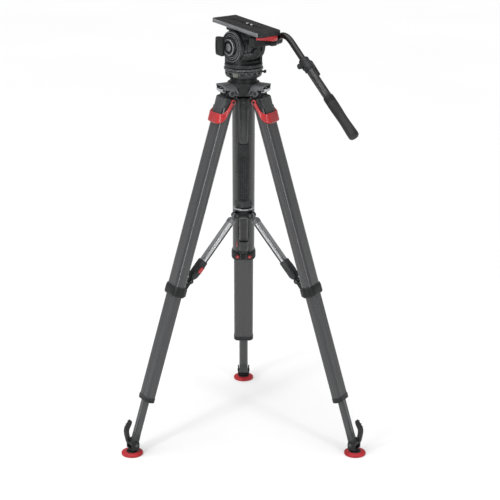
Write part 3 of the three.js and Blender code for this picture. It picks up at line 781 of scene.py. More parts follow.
def brake_yokes():
    """Red yoke: two straps from the side pivots that widen into a band round the leg's outer face."""
    mid_x, mid_y, mid_corner = 23.35, 36.35, 19.5
    strap_width, band_width, thickness = 9.5, 28.0, 4.3
    swell, sink = 0.5, 0.3
    pivot = Vector((-3, 0, -21))
    half = [(mid_x, 9, -74), (21, 26, -72), (14, 33, -66), (8, 36, -55), (3, mid_y, -42),
            (pivot.x, mid_y, pivot.z)]
    knots = [(x, -y, z) for x, y, z in half[::-1]] + [(mid_x, 0, -74)] + half
    path = []
    outward = []
    for point in smooth_path(knots, 7):
        side = math.copysign(1, point.y) if abs(point.y) > 1e-6 else 1
        lean_x = max(point.x - (mid_x - mid_corner), 0.0)
        lean_y = max(abs(point.y) - (mid_y - mid_corner), 0.0)
        if lean_x < 1e-6 and lean_y < 1e-6:
            lean_y = 1.0
        normal = Vector((lean_x, side * lean_y, 0)).normalized()
        corner_x = min(point.x, mid_x - mid_corner)
        corner_y = side * min(abs(point.y), mid_y - mid_corner)
        path.append(Vector((corner_x, corner_y, point.z)) + normal * mid_corner)
        outward.append(normal)
    count = len(path)
    strap_steps = (count - 1) / len(knots) * 3

    def ring_at(i):
        along_strap = min(i, count - 1 - i) / strap_steps
        widen = min(1.0, max(0.0, (along_strap - 0.45) / 1.2))
        width = strap_width + (band_width - strap_width) * widen * widen * (3 - 2 * widen)
        tangent = (path[min(i + 1, count - 1)] - path[max(i - 1, 0)]).normalized()
        across = tangent.cross(outward[i]).normalized()
        points = []
        for point in oval(width, thickness, 1.9, 0, steps=4):
            u, v = point[:2]
            rise = swell * (1 - (2 * u / width) ** 2) if v > 0 else 0.0
            points.append(path[i] + across * u + outward[i] * (v + rise - sink))
        return points

    band = sweep(path, ring_at)
    bosses = []
    for a, b in both_sides(34.3, 38.9):
        boss = turned([(0, a), (5.4, a), (6.8, a + 1), (6.8, b - 1), (5.6, b), (0, b)], 36, "y")
        bosses.append(moved(boss, pivot.x, 0, pivot.z))
    on_each_leg("brake_yoke", combine(band, add=bosses), leg_place, "brake", "red_lever", "brake_lever")
    for side, sign in (("a", 1), ("b", -1)):
        cap = spun(hex_screw(3.6, 1.4), -90 * sign, "X")
        cap = moved(cap, pivot.x, sign * 38.7, pivot.z)
        on_each_leg("yoke_pivot_" + side, cap, leg_place, "brake", "black_plastic")


def middle_tubes():
    """Fluted middle section with its end cap."""
    pitch = 6.2
    cap_from, cap_to = MIDDLE_LOW.z, MIDDLE_LOW.z + 14

    def flute(point):
        around = point.y + (point.x if point.y > 0 else -point.x)
        wave = 0.5 - 0.5 * math.cos(2 * math.pi * around / pitch)
        return 0.85 * wave ** 3

    tube = hollow_tube(MIDDLE, 1.5, cap_to - 2, MIDDLE_HIGH.z, 320, flute)
    on_each_leg("middle_tube", tube, leg_place, "middle", "carbon", "middle_tube")

    slide = 0.5
    steps = [(0, 0), (0.9, 0.8), (1, 4.4), (0.4, 4.8), (0.4, 5.6), (1, 6), (1, 13.2), (0.3, 14)]
    cap = [grown(MIDDLE, grow, cap_from + rise) for grow, rise in steps]
    cap += [grown(LOWER, slide, z, LOWER_OFFSET) for z in (cap_to, cap_from)]
    on_each_leg("middle_cap", stack(cap, looped=True), leg_place, "middle", "black_plastic")


def lower_tubes():
    """Slim lowest section with a groove down each face, its grey ankle and the knuckle."""
    offset = LOWER_OFFSET
    bottom = -982.0
    ankle_z = LOWER_LOW.z + 11

    def groove(point):
        x, y = abs(point.x - offset), abs(point.y)
        across_face = max(0.0, min(1.0, (4.2 - y) / 0.7)) if x > 8 else 0.0
        across_side = max(0.0, min(1.0, (2.4 - x) / 0.6)) if y > 10 else 0.0
        return 0.9 * max(across_face, across_side)

    tube = hollow_tube(LOWER, 2.0, bottom + 1, LOWER_HIGH.z, 120, groove, x=offset)
    on_each_leg("lower_tube", tube, leg_place, "lower", "carbon", "lower_tube")

    shank = stack([
        oval(17, 25, 3, ankle_z + 1, offset), oval(17, 26.5, 5, ankle_z + 14, offset),
        grown(LOWER, 0, bottom - 4, offset), grown(LOWER, 0, bottom, offset),
        grown(LOWER, 0.1, bottom + 0.6, offset), grown(LOWER, 0.1, bottom + 3, offset),
        oval(18, 25.6, 8, bottom + 3.4, offset),
    ])
    knuckle = moved(rod(11, -13.2, 13.2, "y", 1.0), offset, 0, ankle_z)
    bore = moved(rod(4.2, -15, 15, "y", 0), offset, 0, ankle_z)
    pockets = [brick(offset - 5, offset + 5, *ends, ankle_z + 11.5, bottom - 5, 2.5, 0, "y")
               for ends in both_sides(11.6, 15)]
    body = combine(shank, add=[knuckle], cut=[bore] + pockets)
    on_each_leg("ankle", cast(body, 0.7, 3), leg_place, "lower", "grey_plastic")


def feet():
    """Rubber ground pad, and the black fork with the ankle pin."""
    outward = 6.6
    radius, height = 30.0, 9.0
    tread = 1.2
    profile = [(0, tread), (8, tread), (9, 0), (14, 0), (15, tread), (18, tread), (19, 0), (24, 0)]
    profile += [(25, tread), (26, 0), (28.5, 0), (radius, 1.6), (radius, 5.2), (radius - 0.8, 6.4)]
    profile += [(radius - 2.2, 6.8), (radius - 3, 6.2), (radius - 4.4, 6.0), (radius - 6.5, 7.8)]
    profile += [(14, height), (0, height)]
    pad = moved(turned(profile, 96), outward)
    notches = []
    count = 12
    for i in range(count):
        notch = moved(rod(1.5, -1, 4.2, "z", 0, 14), radius + 0.5)
        notches.append(moved(spun(notch, 360 * (i + 0.5) / count), outward))
    on_each_leg("foot_pad", combine(pad, cut=notches), foot_place, "foot", "red_rubber", "foot_pad")

    ear = rounded([(-7, 15), (-9, 33), (-4, 42), (8, 44), (16, 39), (15, 15)], [1, 9, 7, 9, 9, 1])
    ears = [prism(ear, *ends, "y", 1.0) for ends in both_sides(13.9, 17.8)]
    neck = stack([oval(20, 18, 6, height - 0.5, 5), oval(21, 22, 6, 12, 4.5), oval(22, 35.4, 7, 18.4, 4)])
    bore = moved(rod(4.2, -20, 20, "y", 0), 0, 0, ANKLE)
    fork = combine(neck, add=ears, cut=[bore])
    on_each_leg("foot_fork", cast(fork, 0.7, 3), foot_place, "foot", "black_plastic")

    pin = turned(both_ends([(4, 17.8), (5, 17.9), (4, 18.8), (0, 18.8)]), 32, "y")
    on_each_leg("ankle_pin", moved(pin, 0, 0, ANKLE), foot_place, "foot", "grey_plastic")
    section = [(9.5, height - 0.4), (16.5, height - 0.4), (16, height + 1.4), (10, height + 1.8)]
    washer = moved(turned(section, 56, looped=True), outward)
    on_each_leg("foot_washer", washer, foot_place, "foot", "black_plastic")


def latches():
    """Hooked rubber latch on the outer side of each foot."""
    outline = [(12.5, 34.5), (18.5, 32), (23, 38), (28.5, 64), (29, 76), (23.5, 88), (12, 103.5), (7, 101.5),
               (8.5, 92), (18, 76), (14, 50)]
    rounding = [3, 3, 8, 10, 10, 10, 4, 3, 5, 12, 12]
    blade = prism(rounded(outline, rounding, 6), -6.8, 6.8, "y", 1.6)
    ribs = [moved(rod(1.0, -7.6, 7.6, "y", 0.2, 14), x, 0, z) for x, z in ((26, 84), (21, 92), (15, 99.6))]
    window = prism(rounded([(17, 43), (20, 42), (24, 60), (20, 62)], 1.5), -9, 9, "y", 0)
    latch = combine(blade, add=ribs, cut=[window])
    on_each_leg("foot_latch", latch, foot_place, "latch", "rubber", "foot_latch")
    pin = turned(both_ends([(3.2, 7.4), (2.6, 8), (0, 8)]), 24, "y")
    on_each_leg("latch_pin", moved(pin, 17, 0, 38), foot_place, "latch", "grey_plastic")


# ---------------------------------------------------------------- spreader

WINGS = (90, 210, 330)
HUB_PIN_R = (at("arm_swing_back") - at("spreader_knob_turn")).xy.length / MM
HUB_PIN_Z = at("arm_swing_back").z / MM
ARM_THICKNESS = 16.0
SLEEVE_WIDTH = 29.0


def spreader_hub():
    """Black hub with a bright ring line under its knob, and a fork for each arm."""
    profile = [(0, 637), (15, 637), (18, 638), (20, 640.5), (20, 645), (19, 646), (19, 648.5), (20, 649.5),
               (20, 653), (27, 657.6), (28.6, 659), (28.6, 662), (0, 662)]
    lugs = []
    for azimuth in WINGS:
        for ends in both_sides(6.3, 10.3):
            eye = [(-x, z) for x, z in arc(-HUB_PIN_R, HUB_PIN_Z, 7.5, 80, 280, 14)]
            lug = prism(eye + [(12, 638), (12, 654)], *ends, "y", 0.6)
            bore = moved(rod(3.2, ends[0] - 1, ends[1] + 1, "y", 0), HUB_PIN_R, 0, HUB_PIN_Z)
            lugs.append(spun(combine(lug, cut=[bore]), azimuth))
    hub = combine(turned(profile, 72), add=lugs)
    piece("spreader_hub", hub, CENTRE, "spreader", "black_plastic", ["spreader_hub"])
    ring = [(0, 662.2), (28.4, 662.2), (29, 662.8), (29, 664.6), (27.4, 665.6), (24, 667), (0, 667)]
    piece("spreader_ring", turned(ring, 72), CENTRE, "spreader", "silver")

    for leg in LEGS:
        pin = turned(both_ends([(3, 10.5), (4.4, 10.6), (4, 11.4), (0, 11.4)]), 28, "y")
        piece("hub_pin_" + leg, pin, arm_place(leg, "arm_swing"), "spreader", "grey_plastic")

    def lobes(angle):
        return 1 - 0.045 * (0.5 + 0.5 * math.cos(9 * angle)) ** 2

    profile = [(0, 667.4), (21, 667.4), (24.4, 669), (25.5, 671.5), (25.5, 679), (24.2, 682.4), (21, 684.4),
               (14, 684.9), (13, 684), (11.6, 683.8), (0, 683.6)]
    knob = turned(profile, 144, wave=lobes)
    piece("spreader_knob", knob, CENTRE, "spreader_knob", "dark_grey", ["spreader_knob"])
    cap = [(0, 683.4), (10.8, 683.4), (10.8, 684), (9.8, 684.6), (0, 684.8)]
    piece("spreader_knob_cap", turned(cap, 48), CENTRE, "spreader_knob", "black_plastic")


def link_eye():
    """The round eye at an end of the spreader bar, and the bore for its pin."""
    return rod(6.5, -5.8, 5.8, "y", 0.6), rod(3.2, -7, 7, "y", 0)


def spreader_arms():
    """Telescopic bar: a bright upper channel with a black strip along its lower face that is painted shade
    for the underside, on a grey knuckle.
    """
    def where(leg):
        return arm_place(leg, "arm_swing")

    low, high = span("spreader_arm_back", where("back"))
    width, thickness = high.y - low.y, ARM_THICKNESS
    outline = respaced(oval(thickness, width, 6, 0), 120)

    def half(inner, grow):
        points = []
        for point in outline:
            x = min(point.x, -0.8) if inner else max(point.x, -0.6)
            points.append(Vector((x * grow, point.y * grow, 0)))
        return points

    levels = ((low.z + 0.6, 0.95), (low.z + 1.4, 1), (-22.5, 1), (-22, 0.95))
    # The black half is painted shade: it darkens the bar's lower face, where the shade under the bar falls.
    for name, inner, look, replaces in (("spreader_arm", False, "silver", "spreader_arm"),
                                        ("arm_shade_strip", True, "black_plastic", None)):
        rings = [[point + Vector((0, 0, z)) for point in half(inner, grow)] for z, grow in levels]
        on_each_leg(name, stack(rings), where, "arm", look, replaces)

    knuckle = stack([oval(16.4, 25.4, 6, -27), oval(17.4, 26.4, 6.4, -25), oval(17, 26, 6, -16),
                     oval(12, 19, 4, -11.5), oval(8.6, 11.4, 2.5, -9), oval(8.6, 11.4, 2.5, -4)])
    eye, bore = link_eye()
    knuckle = cast(combine(knuckle, add=[eye], cut=[bore]), 0.6, 2)
    on_each_leg("arm_knuckle", knuckle, where, "arm", "pale_casting")


def spreader_sleeves():
    """Sleeve that the bar slides into, with its red release button."""
    def where(leg):
        return arm_place(leg, "sleeve_swing")

    low, high = span("spreader_sleeve_back", where("back"))
    width, thickness, top = SLEEVE_WIDTH, high.x - low.x, high.z
    rings = [oval(10, 13, 4, 6), oval(15, 20, 6, 9), oval(19.6, 26.4, 7.4, 14), oval(thickness, width, 8, 20),
             oval(thickness, width, 8, top - 3), oval(thickness - 1.4, width - 1.4, 7.4, top),
             oval(19.2, 25.8, 6.4, top), oval(19.2, 25.8, 6.4, 19)]
    boss = brick(-7, 7, width / 2 - 1.5, 17.6, 27, 53, 2, 1.0, "y")
    pocket = brick(-5.4, 5.4, 15.1, 21, 30.6, 49.4, 1.5, 0, "y")
    neck = brick(-5, 5, -5.8, 5.8, 0, 13, 1, 0)
    eye, bore = link_eye()
    sleeve = combine(stack(rings), add=[boss, neck, eye], cut=[pocket, bore])
    on_each_leg("spreader_sleeve", sleeve, where, "sleeve", "dark_grey", "spreader_sleeve")
    button = brick(-4.9, 4.9, 16.8, 20.2, 31.2, 48.8, 1.6, 1.0, "y")
    dents = [brick(-3.6, 3.6, 19.7, 21, z - 0.6, z + 0.6, 0.4, 0, "y") for z in (36, 40, 44)]
    button = combine(button, cut=dents)
    on_each_leg("spreader_button", button, where, "button", "red_lever", "spreader_button")


# ---------------------------------------------------------------- crown, ball and tie-down

PIN_RADIUS = 49.5
PIN_Z = 994.0
EAR_FACE = 26.4
BALL_RADIUS = 37.4
BALL_Z = 1018.0


def crown():
    """Black bowl seat, and the casting of three pointed hoods with the hinge ears under them."""
    seat = [(15.8, 979), (22, 980), (32, 986.5), (40, 997), (43.6, 1006), (44, 1012), (43.6, 1017.6)]
    seat += [(42.6, 1018.8), (38.2, 1018.8), (38, 1012), (35.8, 1003.4), (30.6, 994.2), (24, 987.9)]
    seat += [(15.8, 983)]
    side_wall = rounded([(30, 990), (38, 1000), (48, 1003), (60, 1003), (78, 1006), (78, 1009), (30, 1009)],
                        [3, 8, 8, 8, 4, 1, 1])
    half = [(26.4, 1006), (24.6, 1012), (20, 1016.4), (13, 1018.6), (5, 1019.4)]
    inside = [(5, 1016), (13, 1015), (18.4, 1012), (22, 1006)]
    mirrored = [[(-y, z) for y, z in side[::-1]] for side in (half, inside)]
    vault = half + mirrored[0] + mirrored[1] + inside
    plan = [(20, -30), (48, -28), (63, -27), (73, -21), (79, -9)]
    plan += [(x, -y) for x, y in plan[::-1]]
    hoods = []
    for azimuth in WINGS:
        hood = prism(vault, 36, 80, "x", 0)
        walls = [prism(side_wall, *ends, "y", 1.0) for ends in both_sides(21.6, EAR_FACE)]
        ears = [moved(rod(9.6, *ends, "y", 1.0), PIN_RADIUS, 0, PIN_Z)
                for ends in both_sides(19.8, EAR_FACE)]
        pointed = prism(rounded(plan, [1, 10, 14, 10, 5, 5, 10, 14, 10, 1]), 975, 1025, "z", 0)
        bores = moved(rod(4.2, -30, 30, "y", 0), PIN_RADIUS, 0, PIN_Z)
        hoods.append(spun(combine(hood, add=walls + ears, keep=[pointed], cut=[bores]), azimuth))
    room = [(0, 960), (15, 978), (22, 979.6), (32, 986.2), (40.2, 996.8), (43.9, 1006), (44.3, 1012)]
    room += [(44.3, 1030), (0, 1030)]
    body = combine(hoods[0], add=hoods[1:], cut=[turned(room, 96)])
    piece("crown", cast(body, 0.8, 3), CENTRE, "crown", "casting", ["crown"])
    piece("bowl_seat", turned(seat, 96, looped=True), CENTRE, "crown", "black_plastic")


def angle_pawls():
    """Bright angle stop between the two ears of each wing, with its openings."""
    outline = rounded([(12, 1), (22, 2), (27, 8), (27.6, 13), (19, 13.5), (12, 9)], [2, 3, 3, 1, 3, 2])
    openings = rounded([(14.5, 4), (21, 4.8), (24.6, 10.4), (16.5, 9.6)], 1.2)
    for leg in LEGS:
        tab = prism(outline, -13, 13, "y", 0.8)
        holes = [prism(openings, *ends, "y", 0) for ends in both_sides(6, 15)]
        where = place(at("leg_swing_" + leg), -along("leg_swing_" + leg), UP)
        piece("angle_pawl_" + leg, combine(tab, cut=holes), where, "crown", "silver")


def ball():
    """Levelling half ball with its neck, the clamp cup below it and the tie-down handle."""
    profile = [(0, 992)] + arc(0, BALL_Z, BALL_RADIUS, -43.5, 0, 14)
    profile += [(37.2, 1021), (36.6, 1022), (36.4, 1031.6), (35.8, 1032.6), (0, 1032.6)]
    piece("half_ball", turned(profile, 96), CENTRE, "ball", "black_plastic", ["half_ball"])

    cup = [(7.4, 970), (19, 970), (20, 971), (20, 975.2), (18.2, 975.9), (12, 974.9), (7.4, 974.3)]
    piece("clamp_cup", turned(cup, 64, looped=True), CENTRE, "ball", "black_plastic", ["clamp_cup"])

    grip = [(0, 847), (8.6, 847), (10, 848.4), (11.6, 852), (12.4, 880), (13, 910), (14.4, 938)]
    for i in range(4):
        z = 941 + 4.6 * i
        grip += [(15, z), (15, z + 2.6), (14.1, z + 3.2), (14.1, z + 4)]
    grip += [(15, 960), (15, 965.4), (14, 966.6), (0, 966.6)]
    grip = turned(grip, 96, wave=fluted(6, 0.05, 2))
    piece("tie_down_grip", grip, CENTRE, "tie_down", "grey_plastic", ["tie_down_handle"])
    bolt = [(0, 966.8), (14.6, 966.8), (15, 967.4), (15, 968.6), (14.2, 969.4)]
    bolt += [(6, 969.4), (6, 991.5), (5, 992.4), (0, 992.4)]
    piece("tie_down_bolt", turned(bolt, 48), CENTRE, "tie_down", "dark_grey")


# ---------------------------------------------------------------- head

TILT_Z = at("tilt").z / MM
PAN_BRAKE_AZIMUTH = -10.3
LEVEL_AZIMUTH = 244.5


def apart(a, b):
    """The angle between two azimuths, in degrees."""
    return abs((a - b + 180) % 360 - 180)


def on_tilt_axis(mesh, x=0.0):
    """Moves a mesh made round X onto the tilt axis of the head's frame."""
    return moved(mesh, x, 0, TILT_Z)


def pan_base():
    """Base of the head: a ring with pockets round it, and the window of the bubble level."""
    profile = [(0, 1033.1), (44.4, 1033.1), (46.6, 1034.2), (48.4, 1036.6), (49.2, 1039), (49.2, 1040.6)]
    profile += [(50, 1041.6), (50, 1050.6), (48.6, 1052), (34.2, 1052), (34.2, 1060), (0, 1060)]
    pockets = []
    count = 18
    for i in range(count):
        angle = 360 / count * i + 6
        if apart(angle, LEVEL_AZIMUTH) > 14 and apart(angle, PAN_BRAKE_AZIMUTH) > 12:
            pockets.append(spun(brick(47.6, 54, -4.6, 4.6, 1042.6, 1048.6, 1.6, 0, "x"), angle))
    level = Vector((-20, -42, 0))
    pockets.append(moved(rod(8.5, 1039, 1060, "z", 0, 48), level.x, level.y))
    pockets.append(moved(brick(-7.5, 7.5, -14, 0, 1043.4, 1050.2, 2, 0, "y"), level.x * 1.09, level.y * 1.09))
    base = combine(turned(profile, 128), cut=pockets)
    piece("pan_base", base, CENTRE, "ball", "head_casting", ["pan_base"])

    vial = turned([(0, 1039.2), (8, 1039.2), (8, 1048.4), (6.4, 1050.4), (0, 1051.2)], 40)
    piece("bubble_level", moved(vial, level.x, level.y), CENTRE, "ball", "liquid", ["bubble_level"])
    ring = [(6.6, 1049.9), (8.2, 1048.8), (8.2, 1051.7), (7.4, 1051.9), (6.4, 1051.5)]
    ring = moved(turned(ring, 40, looped=True), level.x, level.y)
    piece("bubble_ring", ring, CENTRE, "ball", "grey_plastic")

    drag = [(34.6, 1052.5), (50.6, 1052.5), (51.4, 1053), (53, 1053.6)]
    drag += [(53, 1058.6), (51.4, 1059.4), (50.4, 1059.9), (34.6, 1059.9)]
    drag = turned(drag, 360, looped=True, wave=fluted(60, 0.012))
    piece("pan_drag_ring", drag, CENTRE, "drag_ring", "head_casting", ["pan_drag_ring"])


def cheek(x0, x1):
    """One round side wall of the housing, on a short foot."""
    skirt = prism(rounded([(-34, 1066), (34, 1066), (30, 1100), (-30, 1100)], 2), x0 + 1.5, x1 - 1.5, "x", 0)
    skirt = combine(skirt, keep=[rod(50.4, 1060, 1120, "z", 0, 96)])
    return combine(skirt, add=[on_tilt_axis(rod(43, x0, x1, "x", 2.2, 96))])


def housing():
    """Turntable of the head with its two round cheeks and the curved cover between them at the rear."""
    disc = [(0, 1060.5), (49.6, 1060.5), (51.4, 1062), (51.4, 1068.4), (49.8, 1070.2), (0, 1070.2)]
    cheeks = [cheek(*ends) for ends in both_sides(30.5, 41.9)]
    webs = [brick(-31, 31, side * 27 - 3, side * 27 + 3, 1069, 1076, 3, 0, "z") for side in (-1, 1)]
    hollows = [on_tilt_axis(hoop(inner, inner + 2.5, 0, 2.6, "x"), x)
               for x in (-43.4, 40.8) for inner in (24.5, 29, 33.5)]
    body = cast(combine(turned(disc, 128), add=cheeks + webs, cut=hollows), 0.85, 2)
    piece("head_housing", body, HEAD, "pan_head", "head_casting", ["head_housing"])

    for side, x0, x1 in (("left", -42.8, -41.4), ("right", 41.4, 42.8)):
        rings = [hoop(radius, radius + 1.8, x0, x1, "x") for radius in (27.2, 31.7, 38.6)]
        face = on_tilt_axis(combine(rings[0], add=rings[1:]))
        piece("cheek_rings_" + side, face, HEAD, "pan_head", "casting")

    outline = arc(0, TILT_Z, 42, 200, 268, 24) + arc(0, TILT_Z, 40, 268, 200, 24)
    cover = prism(outline, -30.3, 30.3, "x", 0)
    ridges = [on_tilt_axis(spun(brick(-30, 30, 41.6, 42.9, -1.3, 1.3, 0.5, 0, "x"), 204 + 9 * i, "X"))
              for i in range(7)]
    piece("rear_cover", combine(cover, add=ridges), HEAD, "pan_head", "grey_plastic")
    cap = turned([(0, 0), (10.4, 0), (12, 1.4), (12, 3.4), (0, 3.4)], 48, "y")
    piece("rear_cap", moved(cap, 12, -45.4, TILT_Z - 14), HEAD, "pan_head", "black_plastic")


def head_controls():
    """Levers and dials on the sides of the housing."""
    knob = rounded([(55.4, -6.8), (61.9, -5.8), (61.9, 5.8), (55.4, 6.8)], [1.5, 3, 3, 1.5])
    stem = moved(rod(2.6, 50.4, 56.4, "x", 0.2, 20), 0, 0, 1047.5)
    lever = spun(combine(prism(knob, 1044.1, 1050.9, "z", 1.4), add=[stem]), PAN_BRAKE_AZIMUTH)
    piece("pan_brake_lever", lever, CENTRE, "pan_brake", "black_plastic", ["pan_brake_lever"])

    notches = fluted(24, 0.035, 2)
    left = [(0, 0), (20.6, 0), (22, 1), (22, 7.4), (21, 8.6), (19.6, 9), (18.4, 8.2), (17.6, 6.4)]
    left += [(12.4, 6.2), (11.8, 8.6), (10.8, 9), (0, 9)]
    left = on_tilt_axis(spun(turned(left, 240, "x", wave=notches), 180), -42.4)
    piece("tilt_drag_dial", left, HEAD, "tilt_drag", "head_casting", ["tilt_drag_dial"])
    hub = on_tilt_axis(rod(10.4, -51.6, -50.6, "x", 0.4))
    piece("tilt_drag_hub", hub, HEAD, "tilt_drag", "pale_casting")
    rim = [(18.6, 7.6), (21.6, 7.0), (21.9, 8.2), (20.8, 9.1), (19.2, 9.1), (18.6, 8.6)]
    rim = on_tilt_axis(spun(turned(rim, 96, "x", looped=True), 180), -42.5)
    piece("tilt_drag_rim", rim, HEAD, "tilt_drag", "pale_casting")

    right = [(0, 0), (22.4, 0), (24, 1.2), (24, 7.4), (22.6, 9), (16, 9), (15, 7.4), (0, 7.4)]
    right = on_tilt_axis(turned(right, 240, "x", wave=notches), 42.4)
    piece("counterbalance_dial", right, HEAD, "counterbalance", "black_plastic", ["counterbalance_dial"])
    bar = on_tilt_axis(brick(0, 2, -13.4, 13.4, -3, 3, 2, 0.6, "x"), 49.2)
    piece("counterbalance_grip", bar, HEAD, "counterbalance", "grey_plastic")

    flag = [(43, 1092), (45, 1116), (43, 1141), (14, 1143), (12, 1116), (14, 1090)]
    paddle = prism(rounded(flag, [6, 10, 6, 4, 10, 4]), -62.2, -53.6, "x", 1.6)
    dish = rounded([(31, 1100), (37.6, 1102), (38.6, 1132), (30.4, 1134), (28.4, 1118)], 3)
    paddle = combine(paddle, cut=[prism(dish, -63.4, -61.2, "x", 0)])
    stub = moved(rod(5.5, -56.5, -42.5, "x", 0.4, 32), 0, 32, TILT_Z)
    lever = combine(paddle, add=[stub])
    piece("tilt_brake_lever", lever, HEAD, "tilt_brake", "black_plastic", ["tilt_brake_lever"])


def tilting_part():
    """Ribbed drum on the tilt axis with its saddle, and the platform that holds the plate."""
    profile = [(0, -29.9), (36, -29.9), (37.4, -29), (37.4, -26)]
    for i in range(3):
        x = -25.6 + 4.8 * i
        profile += [(39.4, x), (39.4, x + 2.4), (37.4, x + 2.8), (37.4, x + 4.4)]
    profile += [(38.2, -10), (38.2, -4), (36.4, -3.6), (36.4, 7.6), (38.6, 8), (39.2, 10), (39.2, 27)]
    profile += [(38, 29.4), (0, 29.9)]
    saddle = brick(-29.4, 29.4, -30, 30, 18, 40, 4, 1.2, "x")
    drum = combine(turned(profile, 144, "x"), add=[saddle])
    piece("tilt_drum", drum, TILT, "tilt_head", "head_casting", ["tilt_drum"])
    count = 40
    teeth = [spun(brick(-2.6, 6.6, -1.5, 1.5, 35, 38.8, 0.6, 0.4), 360 / count * i, "X")
             for i in range(count)]
    piece("tilt_scale", combine(teeth[0], add=teeth[1:]), TILT, "tilt_head", "casting")

    deck = brick(-27, 27, -86, 46, 40.3, 45.9, 3, 0.8)
    cross_block = brick(-34, 34, -86, -64, 16, 41.3, 4, 1.6, "y")
    shelf = brick(14, 33, -101, -84, 18, 28, 4, 1.2)
    post = moved(rod(5, 20, 29.4, "z", 0.6), 26, -95)
    edge_rails = [brick(side * 24 - 3, side * 24 + 3, -60, 44, 36.5, 41, 1.5, 0.8) for side in (-1, 1)]
    platform = combine(deck, add=[cross_block, shelf, post] + edge_rails)
    piece("tilt_platform", cast(platform, 0.75, 2), TILT, "tilt_head", "black_plastic", ["tilt_platform"])

    profile = [(0, 34.4), (11.6, 34.4), (13, 35.6), (13, 39.6), (12, 40.8), (0, 40.8)]
    rosette = moved(turned(profile, 144, "x", wave=fluted(36, 0.03)), 0, -77, 26)
    piece("pan_bar_rosette", rosette, TILT, "tilt_head", "casting", ["pan_bar_rosette"])


def camera_plate():
    """Plate with a dark grip surface and lighter sides, its slot and the two camera screws."""
    low, high = span("camera_plate", TILT)
    slot = brick(-5, 5, low.y + 35, high.y - 35, high.z - 6.2, high.z + 2, 4.9, 0)
    body = brick(low.x, high.x, low.y, high.y, low.z, high.z - 1.2, 3, 0.8)
    hollows = []
    for side in (low.x, high.x):
        groove = rounded(rectangle(side - 1.4, side + 1.4, low.z + 4.6, low.z + 6.6), 0.5)
        bevel = [(side, low.z - 0.5), (side - math.copysign(7, side), low.z - 0.5), (side, low.z + 3.4)]
        hollows += [prism(outline, low.y - 2, high.y + 2, "y", 0) for outline in (groove, bevel)]
    body = combine(body, cut=[slot.copy()] + hollows)
    piece("camera_plate", body, TILT, "plate", "pale_casting", ["camera_plate"])
    for end, y0, y1 in (("front", high.y - 0.1, high.y + 0.4), ("rear", low.y - 0.4, low.y + 0.1)):
        face = brick(low.x + 3, high.x - 3, y0, y1, low.z + 0.1, high.z - 1.3, 1, 0.1, "y")
        piece("plate_end_" + end, face, TILT, "plate", "black_plastic")

    edge = 1.2
    mat = brick(low.x + edge, high.x - edge, low.y + edge, high.y - edge, high.z - 1.5, high.z, 3, 0.3)
    lines = []
    for i in range(7):
        y = low.y + 14 + 27.6 * i
        for x0, x1 in ((low.x + 3, -7), (7, high.x - 3)):
            lines.append(brick(x0, x1, y - 0.5, y + 0.5, high.z - 0.5, high.z + 1, 0.2, 0))
    for x in (-7.6, 7.6):
        lines.append(brick(x - 0.4, x + 0.4, low.y + 12, high.y - 12, high.z - 0.5, high.z + 1, 0.2, 0))
    piece("plate_mat", combine(mat, cut=[slot] + lines), TILT, "plate", "plate_top")

    for joint, end in (("screw_front", "front"), ("screw_rear", "rear")):
        where = TILT.inverted() @ at("screw_turn_" + end) / MM
        top = high.z + 4
        profile = [(0, top - 9.4), (4.6, top - 9.4), (4.6, top - 1.2), (3.8, top - 0.2), (3, top), (0, top)]
        screw = turned(profile, 60, wave=fluted(20, 0.03))
        screw = combine(screw, cut=[brick(-6, 6, -0.7, 0.7, top - 1.5, top + 1, 0.1, 0)])
        name = "camera_screw_" + end
        piece(name, moved(screw, where.x, where.y), TILT, joint, "steel", [name])


def plate_lock():
    """Red wedge-shaped lock lever under the rear of the plate, on a black pivot."""
    outline = [(34, -101), (36, -95), (32, -89), (20, -88), (-30, -91), (-36, -96), (-30, -102), (20, -104)]
    body = prism(rounded(outline, [5, 4, 4, 8, 3, 3, 3, 8], 6), 31.6, 46, "z", 4.4)
    point = prism([(-40, 30), (-40, 40.4), (-30, 39.6), (14, 33), (16, 30)], -110, -80, "y", 0)
    thumb = prism(rounded([(-31, -101.4), (-8, -103), (-8, -89.6), (-31, -91.6)], 3), 45, 47, "z", 0)
    lever = combine(body, cut=[thumb, point])
    piece("plate_lock_lever", lever, TILT, "plate_lock", "red_lever", ["plate_lock_lever"])
    base = [(34, -100), (35.6, -95), (31, -89.6), (20, -89), (10, -91), (10, -102), (20, -103.4)]
    base = prism(rounded(base, 3), 29.6, 31.4, "z", 0.4)
    piece("plate_lock_base", base, TILT, "plate_lock", "black_plastic")


# ---------------------------------------------------------------- pan bar


# The bar's frame has its origin in the clamp, Z up along the straight run and X to the right.


def to_bar(point_in_head):
    """A point of the head's frame, in the bar's."""
    return (BAR.inverted() @ HEAD @ (Vector(point_in_head) * MM)) / MM


TUBE_BORE = 9.15


